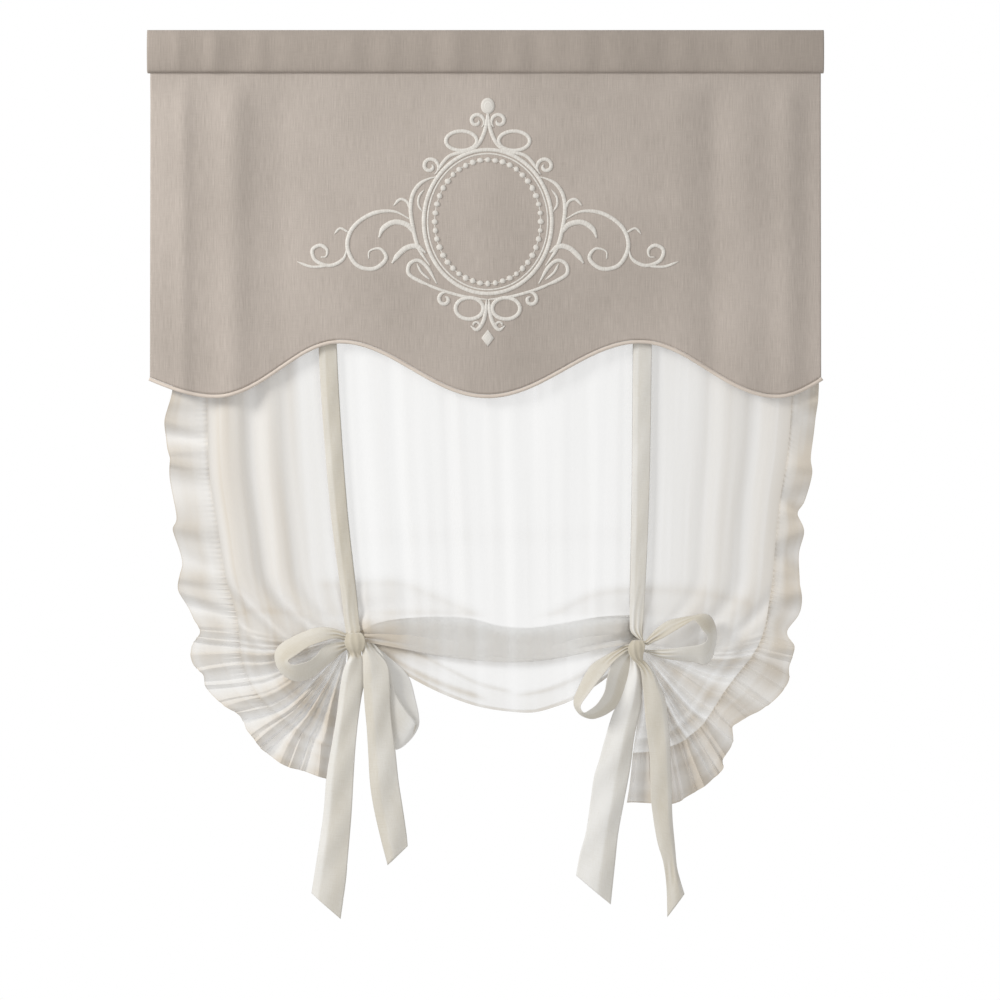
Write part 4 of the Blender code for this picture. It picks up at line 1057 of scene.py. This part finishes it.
def ribbon_piece(name, stations, steps):
    """A strip whose stations are (A column, row, depth, B column, row, depth) and five more."""
    rows = curve_through(stations, steps)
    edges = []
    for start in (0, 3):
        x, drop = from_picture(rows[:, start : start + 2]).T
        edges.append(stacked(x, rows[:, start + 2] * MILLIMETRE, -drop))
    across = np.linspace(0, 1, RIBBON_COLUMNS)[None, :]
    spots = blend(edges[0][:, None], edges[1][:, None], across[..., None])
    width = np.linalg.norm(edges[1] - edges[0], axis=1)[:, None]
    run = distance_along(spots[:, RIBBON_COLUMNS // 2])[:, None]
    place, height, first_side_doubling_and_painted_shade, second_side_doubling_and_painted_shade, gathers = (rows[:, index : index + 1] for index in range(6, 11))
    place = np.clip(place, 0.05, 0.95)
    height = height * MILLIMETRE
    crease = np.minimum(across / place, (1 - across) / (1 - place))
    crease = crease * (1 - 0.15 * crease**4)
    arch = np.sin(across * math.pi)
    dish = 0.0012 * arch * smooth(width / 0.05)
    ripple = 0.35 * height * np.sin(run / 0.115 * 2 * math.pi + across * 2.5) * arch
    squeezed = np.maximum(smooth((0.030 - width) / 0.014), gathers)
    gather = crest(2 * math.pi * (across * 2.6 + 0.35 * np.sin(run * 40)), 1.3) * arch**0.5
    spots[..., 1] -= dish + height * crease + ripple + 0.0011 * squeezed * gather
    # Each side of the crease: doubled ribbon, painted shade above zero and painted highlight below zero; the
    # hollows of the gathers near the knot get painted shade.
    doubling_and_painted_shade = blend(first_side_doubling_and_painted_shade, second_side_doubling_and_painted_shade, smooth((across - place) / 0.1 + 0.5))
    doubling_and_painted_shade = doubling_and_painted_shade + squeezed * (0.2 - 0.35 * gather)
    flat = stacked(across * RIBBON_WIDTH, run)
    piece = cloth_piece(name, spots, flat, ribbon_cloth, RIBBON_THICKNESS, density_and_painted_shade=doubling_and_painted_shade)
    length = float(run[-1, 0])
    print(name, "is", round(length, 2), "m long")
    return piece, length


def paired(first, second, first_depths, second_depths):
    """Stations from two edges of equal length, with the depth of each edge."""
    return [(*a, da, *b, db) for a, b, da, db in zip(first, second, first_depths, second_depths, strict=True)]


# %% The left bow
left_strap = level([
    (313, 331, 67, 0.2), (314, 332, 90, 0.1), (316, 334, 200, -0.6), (319, 337, 355, -0.8),
    (330.3, 347, 508, -0.8), (342, 357, 600, -1), (344.5, 359.3, 622, -3), (346, 360, 632, -6),
])
left_loop_outer = [
    (346, 633), (336, 629), (325, 627), (314, 628), (303, 632), (292, 637), (282, 643), (276, 650),
    (274.8, 657), (277.5, 667), (284, 675), (293, 680.5), (302, 681), (311, 678), (322, 670),
]
left_loop_outer += [(334, 660), (346, 650)]
left_loop_inner = [
    (346, 640), (339, 638.3), (332, 638.6), (325, 640.5), (317, 643), (309, 646.5), (300, 652.5),
    (293, 657), (290, 659), (289, 660.5), (291, 663), (296, 664), (303, 662.5), (310, 660), (317, 654.5),
    (326, 644.5), (346, 641.5),
]
LOOP_BACK = -np.array([8, 9, 10, 11, 11, 12, 12, 13, 13, 13, 13, 13, 12, 12, 11, 10, 8])
LOOP_FRONT = -np.array([9, 13, 18, 23, 27, 30, 32, 33, 33, 33, 33, 33, 32, 29, 24, 17, 10])
left_loop = paired(left_loop_outer, left_loop_inner, LOOP_BACK, LOOP_FRONT)
drooping_loop = [
    (369, 641, -12, 366, 646, -12), (382, 652.5, -17, 366, 660, -17), (389, 668, -20, 366.5, 680, -20),
    (393, 684, -21, 368, 702, -21), (400, 700, -21, 372, 725, -21), (409, 713, -20, 381, 743, -20),
    (415, 721, -18, 397, 749, -17), (415, 724, -15, 410, 740, -13), (408, 722, -12, 418.5, 727, -9),
    (399, 709, -10, 419, 716, -7), (390, 694, -9, 416, 701, -6), (384, 676, -8, 409, 677, -5),
    (377, 661, -8, 397, 664, -5), (368, 645, -9, 378, 648, -7),
]
left_front_tail = [
    (361, 642, -14, 369, 642, -14), (362.5, 652, -20, 378, 652, -20), (363.5, 665, -25, 387.8, 664, -25),
    (364, 685, -27, 390.5, 684, -27), (365.2, 705, -27, 390.8, 705, -27),
    (367.2, 726, -27, 392.5, 724, -27), (368.8, 753, -26, 395.8, 750, -26),
    (370.4, 781, -25, 399, 780, -25), (374, 806, -24, 403, 806, -24), (381, 837, -23, 407, 834, -23),
    (388, 864, -22, 408, 845, -22),
]
left_front_path = [
    *creased(left_strap[:3]),
    *creased(left_strap[3:], 0.35, 2.2, (0.1, 0.3)),
    *creased(left_loop[:9], 0.4, 2.0, (0.1, 0.15)),
    *creased(left_loop[9:], 0.4, 2.0),
    *creased(drooping_loop[:6], doubling_and_painted_shade_tones=(-0.2, -0.2)),
    *creased(drooping_loop[6:], doubling_and_painted_shade_tones=(-0.5, -0.5)),
    *creased(left_front_tail, 0.32, 6.0, (0.15, -0.05)),
]
left_front, left_front_length = ribbon_piece("left_front_ribbon_cloth", left_front_path, 520)
left_back_path = level([
    (313, 331, 67, 2.6), (314, 332, 90, 5.5), (314.8, 332.8, 125, 12), (316, 334, 200, 16),
    (318.5, 336.5, 349, 22), (330.3, 347, 508, 22), (342, 357, 600, 22), (346, 360, 640, 22),
    (347, 361, 655, 21), (347.5, 361, 661, 15), (347.5, 361, 662, 4), (347.5, 361, 659, -3),
    (348, 361, 650, -5), (347, 362, 640, -5), (348, 361.5, 634.5, -9), (349, 361, 632.5, -17),
])
left_knot = [
    (346.5, 635, -25, 364, 635, -24), (345, 641, -29, 366, 641, -28), (346.5, 647, -28, 364.5, 648, -27),
    (350.5, 653, -23, 361, 653, -23),
]
left_back_tail = [
    (349.5, 658, -21, 364.5, 658, -20), (346, 664, -20, 366, 664, -20),
    (342.8, 674, -19, 365.5, 677, -19), (339.5, 694.4, -18, 361.5, 698.7, -18),
    (336.8, 716, -18, 358.5, 720.4, -18), (332.5, 742, -18, 355.8, 747.5, -18),
    (327, 776, -18, 354, 776, -18), (324, 812, -18, 352, 812, -18), (317, 860, -18, 348, 860, -18),
    (314.5, 876, -18, 346.5, 878, -18), (312, 892, -18, 341, 918, -18),
]
left_back_path = creased(left_back_path) + creased(left_knot, 0.4, 2.0, (0.35, 0.35), 0.5)
left_back_path += creased(left_back_tail, 0.24, 5.0, (-0.3, -0.05))
left_back, left_back_length = ribbon_piece("left_back_ribbon_cloth", left_back_path, 420)

# %% The right bow
right_strap = level([
    (636, 654, 67, 0.2), (635.5, 653.8, 90, 0.1), (634, 652.5, 200, -0.6), (633.2, 651.8, 343, -0.8),
    (631.8, 648.8, 508, -0.8), (630, 644.6, 600, -1), (629.6, 643.3, 620, -3), (631, 642, 632, -6),
])
right_loop_outer = [
    (644, 641), (650, 635), (658, 627), (668, 620.5), (680, 617.5), (692, 615.5), (703, 613.3),
    (710, 616), (715, 625), (716.3, 636), (714.5, 648), (711, 659), (705, 664.5), (695, 662), (676, 660),
    (658, 657), (645, 652),
]
right_loop_inner = [
    (646, 645), (654, 641.5), (662, 638), (670, 633), (679, 627.5), (687, 622.5), (693, 619.7),
    (697, 623), (701, 628.5), (705, 634), (706.5, 638), (704, 641.5), (699, 644), (690, 645.5),
    (675, 647.5), (660, 649), (646, 649.5),
]
right_loop = paired(right_loop_outer, right_loop_inner, LOOP_BACK, LOOP_FRONT)
low_loop_inner = [
    (630, 650), (620, 656), (611, 664), (603, 674), (595, 684), (587, 694.5), (581.5, 702), (580, 706.5),
    (583.5, 711.5), (589.5, 708.5), (595.5, 704), (600.5, 697.5), (604.3, 690), (606.5, 678),
    (609.8, 667), (616.5, 657.5), (629, 648),
]
low_loop_outer = [
    (628, 644), (615, 650), (604, 656.4), (592, 664), (585, 674), (578, 688), (574, 698), (574, 706),
    (580, 714.5), (590.9, 718.7), (601, 716.5), (610.5, 711.5), (617.5, 705.5), (623.5, 694), (627, 682),
    (630.5, 668), (633, 658),
]
stand_out = np.sin(np.linspace(0, math.pi, len(low_loop_inner)))
low_loop = paired(low_loop_inner, low_loop_outer, -13 - 25 * stand_out, -9 + 2 * stand_out)
right_front_tail = [
    (629, 652, -10, 637, 656, -10), (628, 670, -9, 642, 671, -9), (624, 684, -8, 642, 690, -8),
    (619, 699, -8, 640.5, 705, -8), (612, 715, -8, 637.5, 720, -8), (605, 738, -8, 633.5, 741, -8),
    (599, 760, -8, 631, 762, -8), (594, 776, -8, 628, 780, -8), (590, 804, -8, 623, 806, -8),
    (586, 831, -8, 618, 834, -8), (580, 853, -8, 615, 862, -8), (576, 875, -8, 610.6, 904, -8),
]
right_front_path = [
    *creased(right_strap[:3], doubling_and_painted_shade_tones=(-0.35, -0.15)),
    *creased(right_strap[3:], 0.3, 1.5, (-0.25, -0.05)),
    *creased(right_loop[:9], 0.4, 2.0, (0.15, 0.15)),
    *creased(right_loop[9:], 0.4, 2.0, (-0.3, -0.2)),
    *creased(low_loop[:9], doubling_and_painted_shade_tones=(0.1, 0.1)),
    *creased(low_loop[9:], doubling_and_painted_shade_tones=(-0.1, 0.1)),
    *creased(right_front_tail, 0.62, 6.5, (-0.45, -0.2)),
]
right_front, right_front_length = ribbon_piece("right_front_ribbon_cloth", right_front_path, 520)
right_back_path = level([
    (636, 654, 67, 2.6), (635.5, 653.8, 90, 5.5), (635, 653.4, 125, 12), (634, 652.5, 200, 16),
    (633.2, 651.8, 343, 22), (631.8, 648.8, 508, 22), (630, 644.6, 600, 22), (630, 643, 648, 22),
    (630, 643, 663, 21), (630, 643, 669, 15), (630, 643, 670, 4), (630, 643, 666, -3),
    (630, 643, 656, -5), (630, 643, 648, -5), (631.5, 642, 642, -9), (632, 641.5, 640, -17),
])
right_knot = [
    (630, 642, -24, 643, 641, -24), (627.5, 647, -29, 644.5, 646, -28),
    (628.5, 653.5, -28, 643, 652.5, -27), (632, 659, -25, 641.9, 658.5, -25),
    (636, 663, -22, 645, 661, -22),
]
right_back_tail = [
    (640, 670, -20, 652, 670, -20), (642, 684, -18, 659, 684, -18), (643.5, 698, -17, 664.7, 698, -17),
    (645.7, 725, -17, 668, 725, -17), (649, 752, -17, 670, 752, -17), (650, 780, -17, 671, 785, -17),
    (651, 803, -17, 672, 817, -17), (657, 841, -17, 674.5, 845, -17), (663, 862, -17, 676.5, 866, -17),
    (666, 885, -17, 680, 880, -17), (667, 916, -17, 684, 893, -17),
]
right_back_path = creased(right_back_path) + creased(right_knot, 0.4, 2.0, (0.35, 0.35), 0.5)
right_back_path += creased(right_back_tail, 0.80, 4.0, (0.1, -0.1))
right_back, right_back_length = ribbon_piece("right_back_ribbon_cloth", right_back_path, 420)

# %% Place the ribbons on the curtain
for piece, node, length in (
    (left_front, "left_front_ribbon", left_front_length),
    (left_back, "left_back_ribbon", left_back_length),
    (right_front, "right_front_ribbon", right_front_length),
    (right_back, "right_back_ribbon", right_back_length),
):
    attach(piece, "root")
    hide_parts(node)

# %% [markdown]
# ## The studio
# The picture is taken straight on from far away, with soft light from the upper left and a pure
# white background. The camera sees the background as white, also through clear cloth, while the
# cloth is lit by a dimmer one, and the lamps are kept at a level where a colour looks as it was
# written. The floor glows to the camera, so that it stays pale.
# %% Camera, floor and light
CAMERA_DISTANCE = 7.0
PICTURE_WIDTH = 1000 * PIXEL
FLOOR_Z = -1.95
FLOOR_GLOW = 0.75
WHITE = (1.0, 1.0, 1.0, 1.0)

camera_data = bpy.data.cameras.new("camera")
camera_data.sensor_width = 36.0
camera_data.lens = camera_data.sensor_width * CAMERA_DISTANCE / PICTURE_WIDTH
camera_data.clip_end = 50.0
camera = bpy.data.objects.new("camera", camera_data)
camera.location = ((500 - MIDDLE_COLUMN) * PIXEL, -CAMERA_DISTANCE, -(500 - ROD_ROW) * PIXEL)
camera.rotation_euler = (math.radians(90), 0, 0)
bpy.context.scene.collection.objects.link(camera)
bpy.context.scene.camera = camera


def area_light(name, place, target, size, power):
    data = bpy.data.lights.new(name, "AREA")
    data.shape = "SQUARE"
    data.size = size
    data.energy = power
    lamp = bpy.data.objects.new(name, data)
    lamp.location = place
    lamp.rotation_euler = (Vector(target) - Vector(place)).to_track_quat("-Z", "Y").to_euler()
    bpy.context.scene.collection.objects.link(lamp)


middle = (0.0, 0.0, -0.75)
area_light("key_light", (-3.1, -1.9, 0.9), middle, size=1.2, power=92)
area_light("fill_light", (2.2, -3.6, -0.3), middle, size=2.4, power=22)

world = bpy.data.worlds.new("studio")
bpy.context.scene.world = world
world.use_nodes = True
studio = Recipe(world.node_tree)
soft = world.node_tree.nodes["Background"]
soft.inputs["Color"].default_value = WHITE
soft.inputs["Strength"].default_value = 0.47
plain_white = studio.node("ShaderNodeBackground", inputs={"Color": WHITE, "Strength": 1.0})
seen = studio.node("ShaderNodeLightPath", output="Is Camera Ray")
for ray in ("Is Glossy Ray", "Is Transmission Ray"):
    seen = seen.math("MAXIMUM", studio.node("ShaderNodeLightPath", output=ray))
sides = {0: seen, 1: Wire(studio, soft.outputs[0]), 2: plain_white}
surface = world.node_tree.nodes["World Output"].inputs["Surface"]
studio.feed(surface, studio.node("ShaderNodeMixShader", inputs=sides))

floor_finish = Finish("pale_floor", (0.9, 0.9, 0.9), 0.9)
seen = floor_finish.node("ShaderNodeLightPath", output="Is Camera Ray") * FLOOR_GLOW
glow = floor_finish.node("ShaderNodeEmission")
sides = {0: seen, 1: Wire(floor_finish, floor_finish.shader.outputs[0]), 2: glow}
surface = floor_finish.tree.nodes["Material Output"].inputs["Surface"]
floor_finish.feed(surface, floor_finish.node("ShaderNodeMixShader", inputs=sides))
floor_mesh = bpy.data.meshes.new("floor")
corners = [(-1.2, -0.95, FLOOR_Z), (1.2, -0.95, FLOOR_Z), (1.2, 0.95, FLOOR_Z), (-1.2, 0.95, FLOOR_Z)]
floor_mesh.from_pydata(corners, [], [(0, 1, 2, 3)])
floor_mesh.materials.append(floor_finish.material)
floor = bpy.data.objects.new("floor", floor_mesh)
bpy.context.scene.collection.objects.link(floor)
bpy.context.scene.view_settings.view_transform = "Standard"
